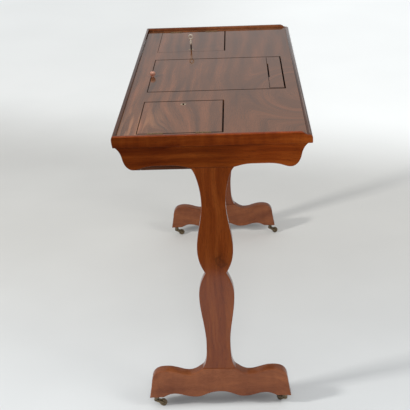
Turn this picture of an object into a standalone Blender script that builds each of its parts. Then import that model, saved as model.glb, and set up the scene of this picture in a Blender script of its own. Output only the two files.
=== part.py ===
"""Reading table: a trestle table whose top holds two locked wells and a rising reading slope.

Units are metres and +Z is up. The reader sits at -Y, the table's length runs along X, and the origin
is on the floor under the middle of the top. "End" values are distances from the middle of the length,
so one function makes both the left (-X) and the right (+X) piece.
"""

import math

import bmesh
import bpy
from mathutils import Matrix, Vector

# Overall
TABLE_LENGTH = 1.140
TABLE_DEPTH = 0.476
TABLE_HEIGHT = 0.750
FIT_GAP = 0.0003  # between two pieces that touch
CUT_OVERRUN = 0.010  # how far a cutter runs past the face that it opens
CURVE_STEPS = 8
ROUND_STEPS = 20
SMALL_ROUND_STEPS = 14

# Top with its gallery
TOP_THICKNESS = 0.020
LIP_RISE = 0.008
END_LIP_THICKNESS = 0.011
GALLERY_THICKNESS = 0.009
BACK_TOP_INSET = 0.0036  # how far the back's rounded face falls away from its fullest line at the top
BACK_FOOT_INSET = 0.0025  # and at the underside
BACK_FULL_DROP = 0.0095  # fullest line of the back, below the top of the gallery
NOSING_DEPTH = 0.012
NOSING_RADIUS = 0.0075
LOWER_EDGE_RADIUS = 0.0025
LIP_DROP_LENGTH = 0.022  # ogee at the front end of an end lip, behind the nosing's round

# Lids and reading panel, all as thick as the top
LID_LENGTH = 0.264
LID_DEPTH = 0.206
LID_END_INSET = 0.041
BACK_INSET = 0.057  # from the table's back to the lids and the panel
PANEL_BREADTH = 0.343
PANEL_FRONT_INSET = 0.047
SIDE_GAP = 0.0006
SWING_GAP = 0.0010  # at an edge that swings up past the top
FRONT_GAP = 0.0030

# Book ledge in the panel's front end
LEDGE_WIDTH = 0.040
LEDGE_THICKNESS = 0.012
LEDGE_CHEEK = 0.008  # panel left at each end of the ledge
PIVOT_INSET = 0.0024  # pivot's axis behind the panel's front edge, and below its surface
FINGER_SLOT_LENGTH = 0.147
FINGER_SLOT_SHIFT = 0.0185
FINGER_SLOT_WIDTH = 0.0028
PANEL_PIN_RADIUS = 0.001
PANEL_PIN_GRIP = 0.007  # in the ledge
PANEL_PIN_SOCKET = 0.012  # in the top

# Prop under the panel
PROP_ROD_RADIUS = 0.0025
PROP_ROD_DROP = 0.009  # rod's axis below the panel's underside
PROP_ROD_REACH = 0.120  # rod's axis behind the panel's pivot pins
PROP_FOOT_SETBACK = 0.0256  # closed prop's foot ahead of the back rail
PROP_FOOT_DROP = 0.012  # foot's middle below the rod, with the slope closed
PROP_THICKNESS = 0.010
PROP_EYE_RADIUS = 0.007
PROP_BREADTH = 0.068
PROP_FORK_DEPTH = 0.028
CLEAT_BREADTH = 0.028
CLEAT_LENGTH = 0.032
CLEAT_LIP = 0.006  # wood below the rod
RACK_BREADTH = 0.040
RACK_LENGTH = 0.058
RACK_END_MARGIN = 0.010  # rack behind the closed prop's foot
RACK_TOOTH_PITCH = 0.007
RACK_TOOTH_DEPTH = 0.003
RACK_CLEARANCE = 0.001  # under the prop's foot
ROD_CLEARANCE = 0.0003

# Lift knob
KNOB_RADIUS = 0.008
KNOB_HEIGHT = 0.0165
KNOB_BASE_RADIUS = 0.0042
KNOB_NECK_RADIUS = 0.0028
KNOB_EDGE_INSET = 0.0044
KNOB_SHIFT = -0.016  # along the panel's back edge, from its middle

# Carcass under the top
WALL_THICKNESS = 0.012
RAIL_THICKNESS = 0.014
WELL_HEIGHT = 0.0685  # from the top's underside to the wells' underside
FRONT_RAIL_HEIGHT = 0.044
BOTTOM_THICKNESS = 0.008
LID_REST = 0.006  # how far walls and rails carry a lid's edge

# Trestles
TRESTLE_SHIFT = 0.0015  # towards the back
BEARER_INSET = 0.002
BEARER_THICKNESS = 0.028
BEARER_END_INSET = 0.009  # from the top's front and back
BEARER_BULGE_DROP = 0.0576
BEARER_ARCH_DROP = 0.0478
BEARER_SHOULDER_DROP = 0.0555
STANDARD_THICKNESS = 0.027
STANDARD_TOP_HALF = 0.052
NECK_HALF = 0.0295
UPPER_BULGE_HALF = 0.0445
WAIST_HALF = 0.0258
LOWER_BULGE_HALF = 0.0442
LOWER_NECK_HALF = 0.0306
STANDARD_BASE_HALF = 0.043
LOWER_NECK_HEIGHT = 0.075  # these heights count from the foot's seat
LOWER_BULGE_HEIGHT = 0.210
WAIST_HEIGHT = 0.2725
UPPER_BULGE_HEIGHT = 0.338
NECK_HEIGHT = 0.457
TENON_THICKNESS = 0.010
TENON_BREADTH = 0.034
TENON_LENGTH = 0.024
FOOT_THICKNESS = 0.031
FOOT_LENGTH = 0.368
FOOT_SEAT_HEIGHT = 0.083  # these heights count from the foot's underside
FOOT_HUMP_HEIGHT = 0.0785
FOOT_DIP_HEIGHT = 0.070
FOOT_SIDE_HEIGHT = 0.052
FOOT_ARCH_HEIGHT = 0.010
FOOT_MIDDLE_ARCH_HEIGHT = 0.015
FOOT_LOBE = 0.062  # from the foot's middle to its inner lobe
FOOT_PAD_LENGTH = 0.032

# Castors
WHEEL_RADIUS = 0.010
WHEEL_WIDTH = 0.0075
WHEEL_HEADROOM = 0.009  # from the wheel up to the plate
WHEEL_CLEARANCE = 0.0013  # between the wheel and the barrel's line
AXLE_RADIUS = 0.0015
PLATE_RADIUS = 0.012
PLATE_THICKNESS = 0.0017
BARREL_RADIUS = 0.0068
BARREL_HEIGHT = 0.0125
STEM_RADIUS = 0.0025
STEM_HEIGHT = 0.008
FORK_PLATE = 0.003
CHEEK_THICKNESS = 0.0018
CHEEK_EYE_RADIUS = 0.0035
CASTOR_END_INSET = 0.016  # from the foot's end to the castor's barrel
CASTOR_TRAILS = {  # direction in which each wheel trails, in degrees from +X
    "left_back": -100.0,
    "left_front": 40.0,
    "right_back": -106.0,
    "right_front": -112.0,
}

# Lid hinges
HINGE_LENGTH = 0.038
HINGE_LEAF_HEIGHT = 0.011
HINGE_LEAF_THICKNESS = 0.002
KNUCKLE_RADIUS = 0.0022
KNUCKLE_CLEARANCE = 0.0004
HINGE_PIN_RADIUS = 0.0011
MIDDLE_KNUCKLE_LENGTH = 0.0134
HINGE_INSET = 0.045  # from the lid's front or back edge to the hinge's middle

# Locks
KEYHOLE_INSET = 0.028  # from the lid's inner edge
KEYHOLE_RADIUS = 0.0025
KEYHOLE_SLOT_LENGTH = 0.0048  # from the keyhole's middle
KEYHOLE_SLOT_WIDTH = 0.0028
ESCUTCHEON_RADIUS = 0.0065
ESCUTCHEON_THICKNESS = 0.0012
LOCK_LENGTH = 0.040
LOCK_BREADTH = 0.046
LOCK_DEPTH = 0.012
LOCK_WALL = 0.0016
LOCK_SETBACK = 0.0045  # from the partition, so that the lock swings clear of it
BOLT_LENGTH = 0.030
BOLT_BREADTH = 0.009
BOLT_THICKNESS = 0.005
BOLT_SHIFT = 0.0095  # from the key towards the back
BOLT_CLEARANCE = 0.0004
STRIKE_DEPTH = 0.008
KEY_SHANK_RADIUS = 0.0021
KEY_STANDING_HEIGHT = 0.048
KEY_BOW_HEIGHT = 0.0185
KEY_BOW_BREADTH = 0.0165
KEY_BOW_BAR = 0.0042
KEY_BIT_LENGTH = 0.0042
KEY_BIT_THICKNESS = 0.0018
KEY_BIT_HEIGHT = 0.005
KEY_TIP_CLEARANCE = 0.001

# Colour, roughness and metallic value of each finish
FINISHES = {
    "top_mahogany": ((0.150, 0.066, 0.040), 0.22, 0.0),
    "edge_mahogany": ((0.160, 0.048, 0.014), 0.30, 0.0),
    "leg_mahogany": ((0.170, 0.055, 0.020), 0.32, 0.0),
    "inner_wood": ((0.200, 0.100, 0.045), 0.60, 0.0),
    "old_brass": ((0.420, 0.270, 0.110), 0.34, 1.0),
    "dark_bronze": ((0.150, 0.105, 0.055), 0.42, 1.0),
}

# Levels and lines that the pieces share
TOP_SURFACE = TABLE_HEIGHT - LIP_RISE
TOP_UNDERSIDE = TOP_SURFACE - TOP_THICKNESS
SEAT_UNDER_TOP = TOP_UNDERSIDE - FIT_GAP
END = TABLE_LENGTH / 2
FRONT = -TABLE_DEPTH / 2
BACK = TABLE_DEPTH / 2
LIP_INNER_END = END - END_LIP_THICKNESS
BEARER_OUTER_END = END - BEARER_INSET
BEARER_INNER_END = BEARER_OUTER_END - BEARER_THICKNESS
TRESTLE_END = BEARER_OUTER_END - STANDARD_THICKNESS / 2
BEARER_LENGTH = TABLE_DEPTH - 2 * BEARER_END_INSET
LID_OUTER_END = END - LID_END_INSET
LID_INNER_END = LID_OUTER_END - LID_LENGTH
LID_BACK = BACK - BACK_INSET
LID_FRONT = LID_BACK - LID_DEPTH
LID_MIDDLE = (LID_BACK + LID_FRONT) / 2
HINGE_END = LID_OUTER_END + SIDE_GAP / 2
PANEL_HALF = PANEL_BREADTH / 2
PANEL_FRONT = FRONT + PANEL_FRONT_INSET
PIVOT_Y = PANEL_FRONT + PIVOT_INSET
PIVOT_Z = TOP_SURFACE - PIVOT_INSET
BACK_RAIL_FACE = LID_BACK - LID_REST
FRONT_RAIL_FACE = PANEL_FRONT - FRONT_GAP
WELL_FRONT_FACE = LID_FRONT + LID_REST
WELL_UNDERSIDE = TOP_UNDERSIDE - WELL_HEIGHT
WELL_OUTER_END = HINGE_END + SIDE_GAP / 2
PARTITION_OUTER_END = LID_INNER_END + LID_REST
PARTITION_INNER_END = PARTITION_OUTER_END - WALL_THICKNESS
SLOPE_FLOOR_UNDERSIDE = TOP_UNDERSIDE - FRONT_RAIL_HEIGHT
SLOPE_FLOOR = SLOPE_FLOOR_UNDERSIDE + BOTTOM_THICKNESS
ROD_Y = PIVOT_Y + PROP_ROD_REACH
ROD_Z = TOP_UNDERSIDE - PROP_ROD_DROP
PROP_FOOT_Y = BACK_RAIL_FACE - PROP_FOOT_SETBACK
PROP_LENGTH = math.hypot(PROP_FOOT_Y - ROD_Y, PROP_FOOT_DROP)
PROP_SLOPE = math.asin(PROP_FOOT_DROP / PROP_LENGTH)
RACK_TOP = ROD_Z - PROP_FOOT_DROP - PROP_THICKNESS / 2 - RACK_CLEARANCE
BARREL_TOP = 2 * WHEEL_RADIUS + WHEEL_HEADROOM
FOOT_UNDERSIDE = BARREL_TOP + PLATE_THICKNESS + FIT_GAP
STANDARD_BASE = FOOT_UNDERSIDE + FOOT_SEAT_HEIGHT
SHOULDER = TOP_UNDERSIDE - FIT_GAP - BEARER_SHOULDER_DROP
WHEEL_TRAIL = BARREL_RADIUS + WHEEL_RADIUS + WHEEL_CLEARANCE
CASTOR_REACH = FOOT_LENGTH / 2 - CASTOR_END_INSET
KEYHOLE_END = LID_INNER_END + KEYHOLE_INSET
LOCK_INNER_END = PARTITION_OUTER_END + LOCK_SETBACK
LOCK_TOP = TOP_UNDERSIDE - FIT_GAP
LOCK_FLOOR = LOCK_TOP - LOCK_DEPTH + LOCK_WALL
BOLT_Z = (LOCK_FLOOR + LOCK_TOP - LOCK_WALL) / 2
BOLT_Y = LID_MIDDLE + BOLT_SHIFT

SIDES = (("left", -1), ("right", 1))


def curve(start, start_pull, end_pull, end, steps=CURVE_STEPS):
    """Points of a cubic Bezier curve after its start, in the plane of its four points."""
    points = []
    for step in range(1, steps + 1):
        t = step / steps
        weights = ((1 - t) ** 3, 3 * t * (1 - t) ** 2, 3 * t * t * (1 - t), t**3)
        corners = (start, start_pull, end_pull, end)
        points.append(tuple(sum(w * c[i] for w, c in zip(weights, corners)) for i in (0, 1)))
    return points


def mirrored(half):
    """A closed outline from its right half, listed from top to bottom."""
    return half + [(-across, up) for across, up in reversed(half) if across > 0]


def shifted(outline, across):
    return [(a + across, up) for a, up in outline]


def finish_mesh(bm, name):
    bmesh.ops.remove_doubles(bm, verts=bm.verts[:], dist=1e-6)
    bmesh.ops.recalc_face_normals(bm, faces=bm.faces[:])
    mesh = bpy.data.meshes.new(name)
    bm.to_mesh(mesh)
    bm.free()
    return mesh


def box_mesh(name, low, high):
    bm = bmesh.new()
    bmesh.ops.create_cube(bm, size=1.0)
    size = Vector(high) - Vector(low)
    middle = (Vector(high) + Vector(low)) / 2
    bmesh.ops.scale(bm, vec=size, verts=bm.verts[:])
    bmesh.ops.translate(bm, vec=middle, verts=bm.verts[:])
    return finish_mesh(bm, name)


def prism_mesh(name, outline, low, high):
    """An outline in (y, z) carried along X from low to high."""
    bm = bmesh.new()
    first = [bm.verts.new((low, across, up)) for across, up in outline]
    last = [bm.verts.new((high, across, up)) for across, up in outline]
    bm.faces.new(first[::-1])
    bm.faces.new(last)
    bmesh.ops.bridge_loops(bm, edges=[e for e in bm.edges if len(e.link_faces) == 1])
    return finish_mesh(bm, name)


def turned_mesh(name, profile, steps, placed, closed=False):
    """A profile in (radius, height) turned about its own axis, then placed by a matrix."""
    bm = bmesh.new()
    points = [bm.verts.new((radius, 0.0, height)) for radius, height in profile]
    pairs = list(zip(points, points[1:]))
    if closed:
        pairs.append((points[-1], points[0]))
    edges = [bm.edges.new(pair) for pair in pairs]
    bmesh.ops.spin(
        bm, geom=points + edges, axis=(0, 0, 1), cent=(0, 0, 0), angle=math.tau, steps=steps, use_merge=True
    )
    bmesh.ops.transform(bm, matrix=placed, verts=bm.verts[:])
    return finish_mesh(bm, name)


def rod_mesh(name, start, end, radius, steps=SMALL_ROUND_STEPS):
    """A round rod from one point to another."""
    along = Vector(end) - Vector(start)
    turn = Vector((0, 0, 1)).rotation_difference(along).to_matrix().to_4x4()
    middle = Matrix.Translation((Vector(start) + Vector(end)) / 2)
    bm = bmesh.new()
    bmesh.ops.create_cone(
        bm,
        cap_ends=True,
        segments=steps,
        radius1=radius,
        radius2=radius,
        depth=along.length,
        matrix=middle @ turn,
    )
    return finish_mesh(bm, name)


def finish_for(name, finish):
    colour, roughness, metallic = FINISHES[finish]
    material = bpy.data.materials.new(name + "_finish")
    material.use_nodes = True
    shader = material.node_tree.nodes["Principled BSDF"]
    shader.inputs["Base Color"].default_value = (*colour, 1.0)
    shader.inputs["Roughness"].default_value = roughness
    shader.inputs["Metallic"].default_value = metallic
    material.diffuse_color = (*colour, 1.0)
    return material


def add(mesh, finish, pivot=None):
    """One named piece of the table, hung on its pivot if it moves."""
    mesh.materials.append(finish_for(mesh.name, finish))
    mesh.shade_smooth()
    mesh.set_sharp_from_angle(angle=math.radians(30))
    piece = bpy.data.objects.new(mesh.name, mesh)
    bpy.context.scene.collection.objects.link(piece)
    if pivot:
        mesh.transform(pivot.matrix_world.inverted())
        piece.parent = pivot
    return piece


def combine(piece, mesh, operation):
    """Joins a hidden mesh to a piece, or cuts it away."""
    helper = bpy.data.objects.new(mesh.name, mesh)
    helper.hide_render = True
    helper.display_type = "WIRE"
    bpy.context.scene.collection.objects.link(helper)
    modifier = piece.modifiers.new(mesh.name, "BOOLEAN")
    modifier.operation = operation
    modifier.solver = "EXACT"
    modifier.object = helper


def cut(piece, mesh):
    combine(piece, mesh, "DIFFERENCE")


def join(piece, mesh):
    combine(piece, mesh, "UNION")


def add_pivot(name, location, turn=0.0, parent=None):
    """An empty on a joint's axis."""
    pivot = bpy.data.objects.new(name, None)
    bpy.context.scene.collection.objects.link(pivot)
    pivot.parent = parent
    pivot.location = Vector(location) - (parent.matrix_world.translation if parent else Vector())
    pivot.rotation_euler = (0, 0, turn)
    bpy.context.view_layer.update()
    return pivot


def sided_box(name, side, ends, across, up):
    """A box between two distances from the table's middle, on one side of it."""
    low, high = sorted((side * ends[0], side * ends[1]))
    return box_mesh(name, (low, across[0], up[0]), (high, across[1], up[1]))


def nosing_outline(inner):
    """Front edge in section: square behind, round above and eased below."""
    outline = [(inner, TOP_SURFACE), (FRONT + NOSING_RADIUS, TOP_SURFACE)]
    outline += nosing_round()
    return outline + [(inner, TOP_UNDERSIDE)]


def nosing_round():
    """The round from the top surface to the underside at the front."""
    pull = 0.55
    shoulder = (FRONT, TOP_SURFACE - NOSING_RADIUS)
    heel = (FRONT, TOP_UNDERSIDE + LOWER_EDGE_RADIUS)
    toe = (FRONT + LOWER_EDGE_RADIUS, TOP_UNDERSIDE)
    start = (FRONT + NOSING_RADIUS, TOP_SURFACE)
    start_pull = (start[0] - pull * NOSING_RADIUS, TOP_SURFACE)
    end_pull = (FRONT, shoulder[1] + pull * NOSING_RADIUS)
    points = curve(start, start_pull, end_pull, shoulder)
    points.append(heel)
    heel_pull = (FRONT, heel[1] - pull * LOWER_EDGE_RADIUS)
    toe_pull = (toe[0] - pull * LOWER_EDGE_RADIUS, TOP_UNDERSIDE)
    return points + curve(heel, heel_pull, toe_pull, toe, steps=4)


def back_round():
    """Rounded outer face of the back, from the underside up to the top of the gallery."""
    foot = (BACK - BACK_FOOT_INSET, TOP_UNDERSIDE)
    full = (BACK, TABLE_HEIGHT - BACK_FULL_DROP)
    top = (BACK - BACK_TOP_INSET, TABLE_HEIGHT)
    foot_pull = (foot[0] + BACK_FOOT_INSET / 2, (foot[1] + full[1]) / 2)
    below = (BACK, full[1] - (full[1] - foot[1]) / 3)
    above = (BACK, full[1] + BACK_FULL_DROP / 2)
    top_pull = (top[0] + BACK_TOP_INSET / 2, TABLE_HEIGHT)
    return [foot] + curve(foot, foot_pull, below, full) + curve(full, above, top_pull, top)


def gallery_outline():
    """Back gallery rail in section: straight towards the top, rounded outside."""
    inner = BACK - GALLERY_THICKNESS
    return [(inner, TABLE_HEIGHT), (inner, TOP_UNDERSIDE)] + back_round()


def end_lip_outline():
    """End lip seen from the end: level, then an ogee down to the nosing at the front."""
    drop_end = (FRONT + NOSING_RADIUS, TOP_SURFACE)
    drop_start = (drop_end[0] + LIP_DROP_LENGTH, TABLE_HEIGHT)
    outline = [drop_start]
    start_pull = (drop_start[0] - LIP_DROP_LENGTH / 2, TABLE_HEIGHT)
    end_pull = (drop_end[0] + LIP_DROP_LENGTH / 2, TOP_SURFACE)
    outline += curve(drop_start, start_pull, end_pull, drop_end)
    return outline + nosing_round() + back_round()


def add_top():
    board_back = BACK - GALLERY_THICKNESS - FIT_GAP
    board_front = FRONT + NOSING_DEPTH + FIT_GAP
    board_end = LIP_INNER_END - FIT_GAP
    low = (-board_end, board_front, TOP_UNDERSIDE)
    top = add(box_mesh("top_board", low, (board_end, board_back, TOP_SURFACE)), "top_mahogany")
    through = (TOP_UNDERSIDE - CUT_OVERRUN, TOP_SURFACE + CUT_OVERRUN)
    for label, side in SIDES:
        ends = (WELL_OUTER_END, LID_INNER_END - SWING_GAP)
        across = (LID_FRONT - FRONT_GAP, LID_BACK + SIDE_GAP)
        cut(top, sided_box(f"{label}_lid_opening", side, ends, across, through))
        for place, y in hinge_places():
            cut(top, hinge_pocket(f"top_pocket_{label}_{place}", side, y, 1))
        cut(top, pin_hole(f"top_pin_hole_{label}", side))
        outline = end_lip_outline()
        low_end, high_end = sorted((side * LIP_INNER_END, side * END))
        add(prism_mesh(f"{label}_end_lip", outline, low_end, high_end), "edge_mahogany")
    panel_half = PANEL_HALF + SIDE_GAP
    low = (-panel_half, PANEL_FRONT - FRONT_GAP, through[0])
    cut(top, box_mesh("panel_opening", low, (panel_half, LID_BACK + SWING_GAP, through[1])))
    add(prism_mesh("back_gallery_rail", gallery_outline(), -board_end, board_end), "edge_mahogany")
    nosing = nosing_outline(FRONT + NOSING_DEPTH)
    add(prism_mesh("front_edge_moulding", nosing, -board_end, board_end), "edge_mahogany")


def add_carcass():
    long_end = BEARER_INNER_END - FIT_GAP
    back_low = (-long_end, BACK_RAIL_FACE, WELL_UNDERSIDE)
    back_high = (long_end, BACK_RAIL_FACE + RAIL_THICKNESS, SEAT_UNDER_TOP)
    add(box_mesh("back_rail", back_low, back_high), "inner_wood")
    front_low = (-long_end, FRONT_RAIL_FACE - RAIL_THICKNESS, SLOPE_FLOOR_UNDERSIDE)
    front_high = (long_end, FRONT_RAIL_FACE, SEAT_UNDER_TOP)
    add(box_mesh("front_rail", front_low, front_high), "inner_wood")
    well_up = (WELL_UNDERSIDE, SEAT_UNDER_TOP)
    well_across = (WELL_FRONT_FACE + FIT_GAP, BACK_RAIL_FACE - FIT_GAP)
    for label, side in SIDES:
        ends = (PARTITION_INNER_END, PARTITION_OUTER_END)
        across = (FRONT_RAIL_FACE + FIT_GAP, BACK_RAIL_FACE - FIT_GAP)
        partition = add(sided_box(f"{label}_partition", side, ends, across, well_up), "inner_wood")
        cut(partition, strike_pocket(f"{label}_strike_pocket", side))
        ends = (PARTITION_OUTER_END + FIT_GAP, long_end)
        across = (WELL_FRONT_FACE - WALL_THICKNESS, WELL_FRONT_FACE)
        add(sided_box(f"{label}_well_front", side, ends, across, well_up), "inner_wood")
        ends = (WELL_OUTER_END, long_end)
        add(sided_box(f"{label}_well_end", side, ends, well_across, well_up), "inner_wood")
        ends = (PARTITION_OUTER_END + FIT_GAP, WELL_OUTER_END - FIT_GAP)
        up = (WELL_UNDERSIDE, WELL_UNDERSIDE + BOTTOM_THICKNESS)
        add(sided_box(f"{label}_well_bottom", side, ends, well_across, up), "inner_wood")
    floor_end = PARTITION_INNER_END - FIT_GAP
    floor_low = (-floor_end, FRONT_RAIL_FACE + FIT_GAP, SLOPE_FLOOR_UNDERSIDE)
    floor_high = (floor_end, BACK_RAIL_FACE - FIT_GAP, SLOPE_FLOOR)
    add(box_mesh("slope_bottom", floor_low, floor_high), "inner_wood")
    add(prism_mesh("ratchet_rack", rack_outline(), -RACK_BREADTH / 2, RACK_BREADTH / 2), "inner_wood")


def rack_outline():
    """Ratchet rack in section: saw teeth whose upright faces stop the prop's foot."""
    back = PROP_FOOT_Y + RACK_END_MARGIN
    front = back - RACK_LENGTH
    base = SLOPE_FLOOR + FIT_GAP
    outline = [(front, base), (back, base), (back, RACK_TOP)]
    teeth = int((RACK_LENGTH - RACK_TOOTH_PITCH) / RACK_TOOTH_PITCH)
    for tooth in range(teeth):
        tip = back - RACK_TOOTH_PITCH * (tooth + 0.5)
        outline.append((tip, RACK_TOP))
        outline.append((tip - RACK_TOOTH_PITCH * 0.7, RACK_TOP - RACK_TOOTH_DEPTH))
        outline.append((tip - RACK_TOOTH_PITCH * 0.8, RACK_TOP))
    return outline + [(front, RACK_TOP)]


def bearer_outline():
    """Bearer seen from the end: cyma ends, a bulge, a long arch and the standard's shoulder."""
    top = SEAT_UNDER_TOP
    half = BEARER_LENGTH / 2
    bulge = top - BEARER_BULGE_DROP
    arch = top - BEARER_ARCH_DROP
    tip = (half, top)
    turn = (half - 0.0156, top - BEARER_BULGE_DROP * 0.49)
    belly = (half - 0.042, bulge)
    arch_start = (half - 0.098, arch)
    arch_end = (STANDARD_TOP_HALF + 0.045, arch)
    shoulder = (STANDARD_TOP_HALF, SHOULDER)
    outline = [tip]
    outline += curve(tip, (half - 0.008, top - 0.0065), (turn[0] + 0.0023, turn[1] + 0.012), turn)
    outline += curve(turn, (turn[0] - 0.0029, turn[1] - 0.015), (belly[0] + 0.015, bulge), belly)
    outline += curve(belly, (belly[0] - 0.014, bulge), (arch_start[0] + 0.036, arch), arch_start)
    outline += [arch_end]
    outline += curve(arch_end, (arch_end[0] - 0.020, arch), (shoulder[0] + 0.012, SHOULDER + 0.003), shoulder)
    return shifted(mirrored(outline), TRESTLE_SHIFT)


def standard_outline():
    """Standard seen from the end: a flat baluster of two bulges that meet in a sharp waist."""
    base = STANDARD_BASE + FIT_GAP
    top = (STANDARD_TOP_HALF, SHOULDER - FIT_GAP)
    neck = (NECK_HALF, STANDARD_BASE + NECK_HEIGHT)
    upper = (UPPER_BULGE_HALF, STANDARD_BASE + UPPER_BULGE_HEIGHT)
    waist = (WAIST_HALF, STANDARD_BASE + WAIST_HEIGHT)
    lower = (LOWER_BULGE_HALF, STANDARD_BASE + LOWER_BULGE_HEIGHT)
    lower_neck = (LOWER_NECK_HALF, STANDARD_BASE + LOWER_NECK_HEIGHT)
    bottom = (STANDARD_BASE_HALF, base)
    neck_to_upper = (neck[1] - upper[1]) / 3
    lower_to_neck = (lower[1] - lower_neck[1]) / 3
    outline = [top]
    outline += curve(top, (top[0] - 0.011, top[1] - 0.0115), (NECK_HALF, neck[1] + 0.040), neck)
    outline += curve(neck, (NECK_HALF, neck[1] - neck_to_upper), (upper[0], upper[1] + neck_to_upper), upper)
    outline += curve(upper, (upper[0], upper[1] - 0.029), (waist[0] + 0.0102, waist[1] + 0.016), waist)
    outline += curve(waist, (waist[0] + 0.0072, waist[1] - 0.0145), (lower[0], lower[1] + 0.027), lower)
    neck_pull = (lower_neck[0], lower_neck[1] + lower_to_neck)
    outline += curve(lower, (lower[0], lower[1] - lower_to_neck), neck_pull, lower_neck)
    bottom_pull = (bottom[0] - 0.009, base + 0.022)
    outline += curve(lower_neck, (lower_neck[0], lower_neck[1] - 0.028), bottom_pull, bottom)
    return shifted(mirrored(outline), TRESTLE_SHIFT)


def foot_outline():
    """Sled foot seen from the end: a seat, a dip and a hump above, three arches below."""
    ground = FOOT_UNDERSIDE
    half = FOOT_LENGTH / 2
    seat = (STANDARD_BASE_HALF, STANDARD_BASE)
    dip = (STANDARD_BASE_HALF + 0.035, ground + FOOT_DIP_HEIGHT)
    hump = (half - 0.047, ground + FOOT_HUMP_HEIGHT)
    side = (half - 0.0085, ground + FOOT_SIDE_HEIGHT)
    toe = (half, ground)
    pad = (half - FOOT_PAD_LENGTH, ground)
    arch = (half - 0.065, ground + FOOT_ARCH_HEIGHT)
    lobe = (FOOT_LOBE, ground)
    middle = (0.0, ground + FOOT_MIDDLE_ARCH_HEIGHT)
    outline = [seat]
    outline += curve(seat, (seat[0] + 0.011, seat[1] - 0.007), (dip[0] - 0.016, dip[1]), dip)
    outline += curve(dip, (dip[0] + 0.020, dip[1]), (hump[0] - 0.025, hump[1]), hump)
    outline += curve(hump, (hump[0] + 0.021, hump[1]), (side[0] - 0.0035, side[1] + 0.020), side)
    outline += curve(side, (side[0] + 0.0025, side[1] - 0.017), (toe[0] - 0.004, ground + 0.018), toe)
    outline.append(pad)
    outline += curve(pad, (pad[0] - 0.010, ground), (arch[0] + 0.017, arch[1]), arch)
    outline += curve(arch, (arch[0] - 0.021, arch[1]), (lobe[0] + 0.026, ground), lobe)
    outline += curve(lobe, (lobe[0] - 0.022, ground), (0.032, middle[1]), middle)
    return shifted(mirrored(outline), TRESTLE_SHIFT)


def tenon_box(name, side, up, clearance=0.0):
    """A standard's tenon or, with a clearance, the mortise that takes it."""
    ends = [TRESTLE_END + way * (TENON_THICKNESS / 2 + clearance) for way in (-1, 1)]
    reach = TENON_BREADTH / 2 + clearance
    return sided_box(name, side, ends, (TRESTLE_SHIFT - reach, TRESTLE_SHIFT + reach), up)


def add_trestles():
    for label, side in SIDES:
        low, high = sorted((side * BEARER_INNER_END, side * BEARER_OUTER_END))
        bearer = add(prism_mesh(f"{label}_bearer", bearer_outline(), low, high), "edge_mahogany")
        up = (SHOULDER - CUT_OVERRUN, SHOULDER + TENON_LENGTH + FIT_GAP)
        cut(bearer, tenon_box(f"{label}_bearer_mortise", side, up, FIT_GAP))
        low, high = (side * TRESTLE_END + way * STANDARD_THICKNESS / 2 for way in (-1, 1))
        standard = add(prism_mesh(f"{label}_standard", standard_outline(), low, high), "leg_mahogany")
        up = (SHOULDER - CUT_OVERRUN, SHOULDER + TENON_LENGTH)
        join(standard, tenon_box(f"{label}_upper_tenon", side, up))
        up = (STANDARD_BASE - TENON_LENGTH, STANDARD_BASE + CUT_OVERRUN)
        join(standard, tenon_box(f"{label}_lower_tenon", side, up))
        low, high = (side * TRESTLE_END + way * FOOT_THICKNESS / 2 for way in (-1, 1))
        foot = add(prism_mesh(f"{label}_foot", foot_outline(), low, high), "leg_mahogany")
        up = (STANDARD_BASE - TENON_LENGTH - FIT_GAP, STANDARD_BASE + CUT_OVERRUN)
        cut(foot, tenon_box(f"{label}_foot_mortise", side, up, FIT_GAP))


def castor_places():
    for label, side in SIDES:
        for place, way in (("back", 1), ("front", -1)):
            yield f"{label}_{place}", Vector((side * TRESTLE_END, TRESTLE_SHIFT + way * CASTOR_REACH, 0))


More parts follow.
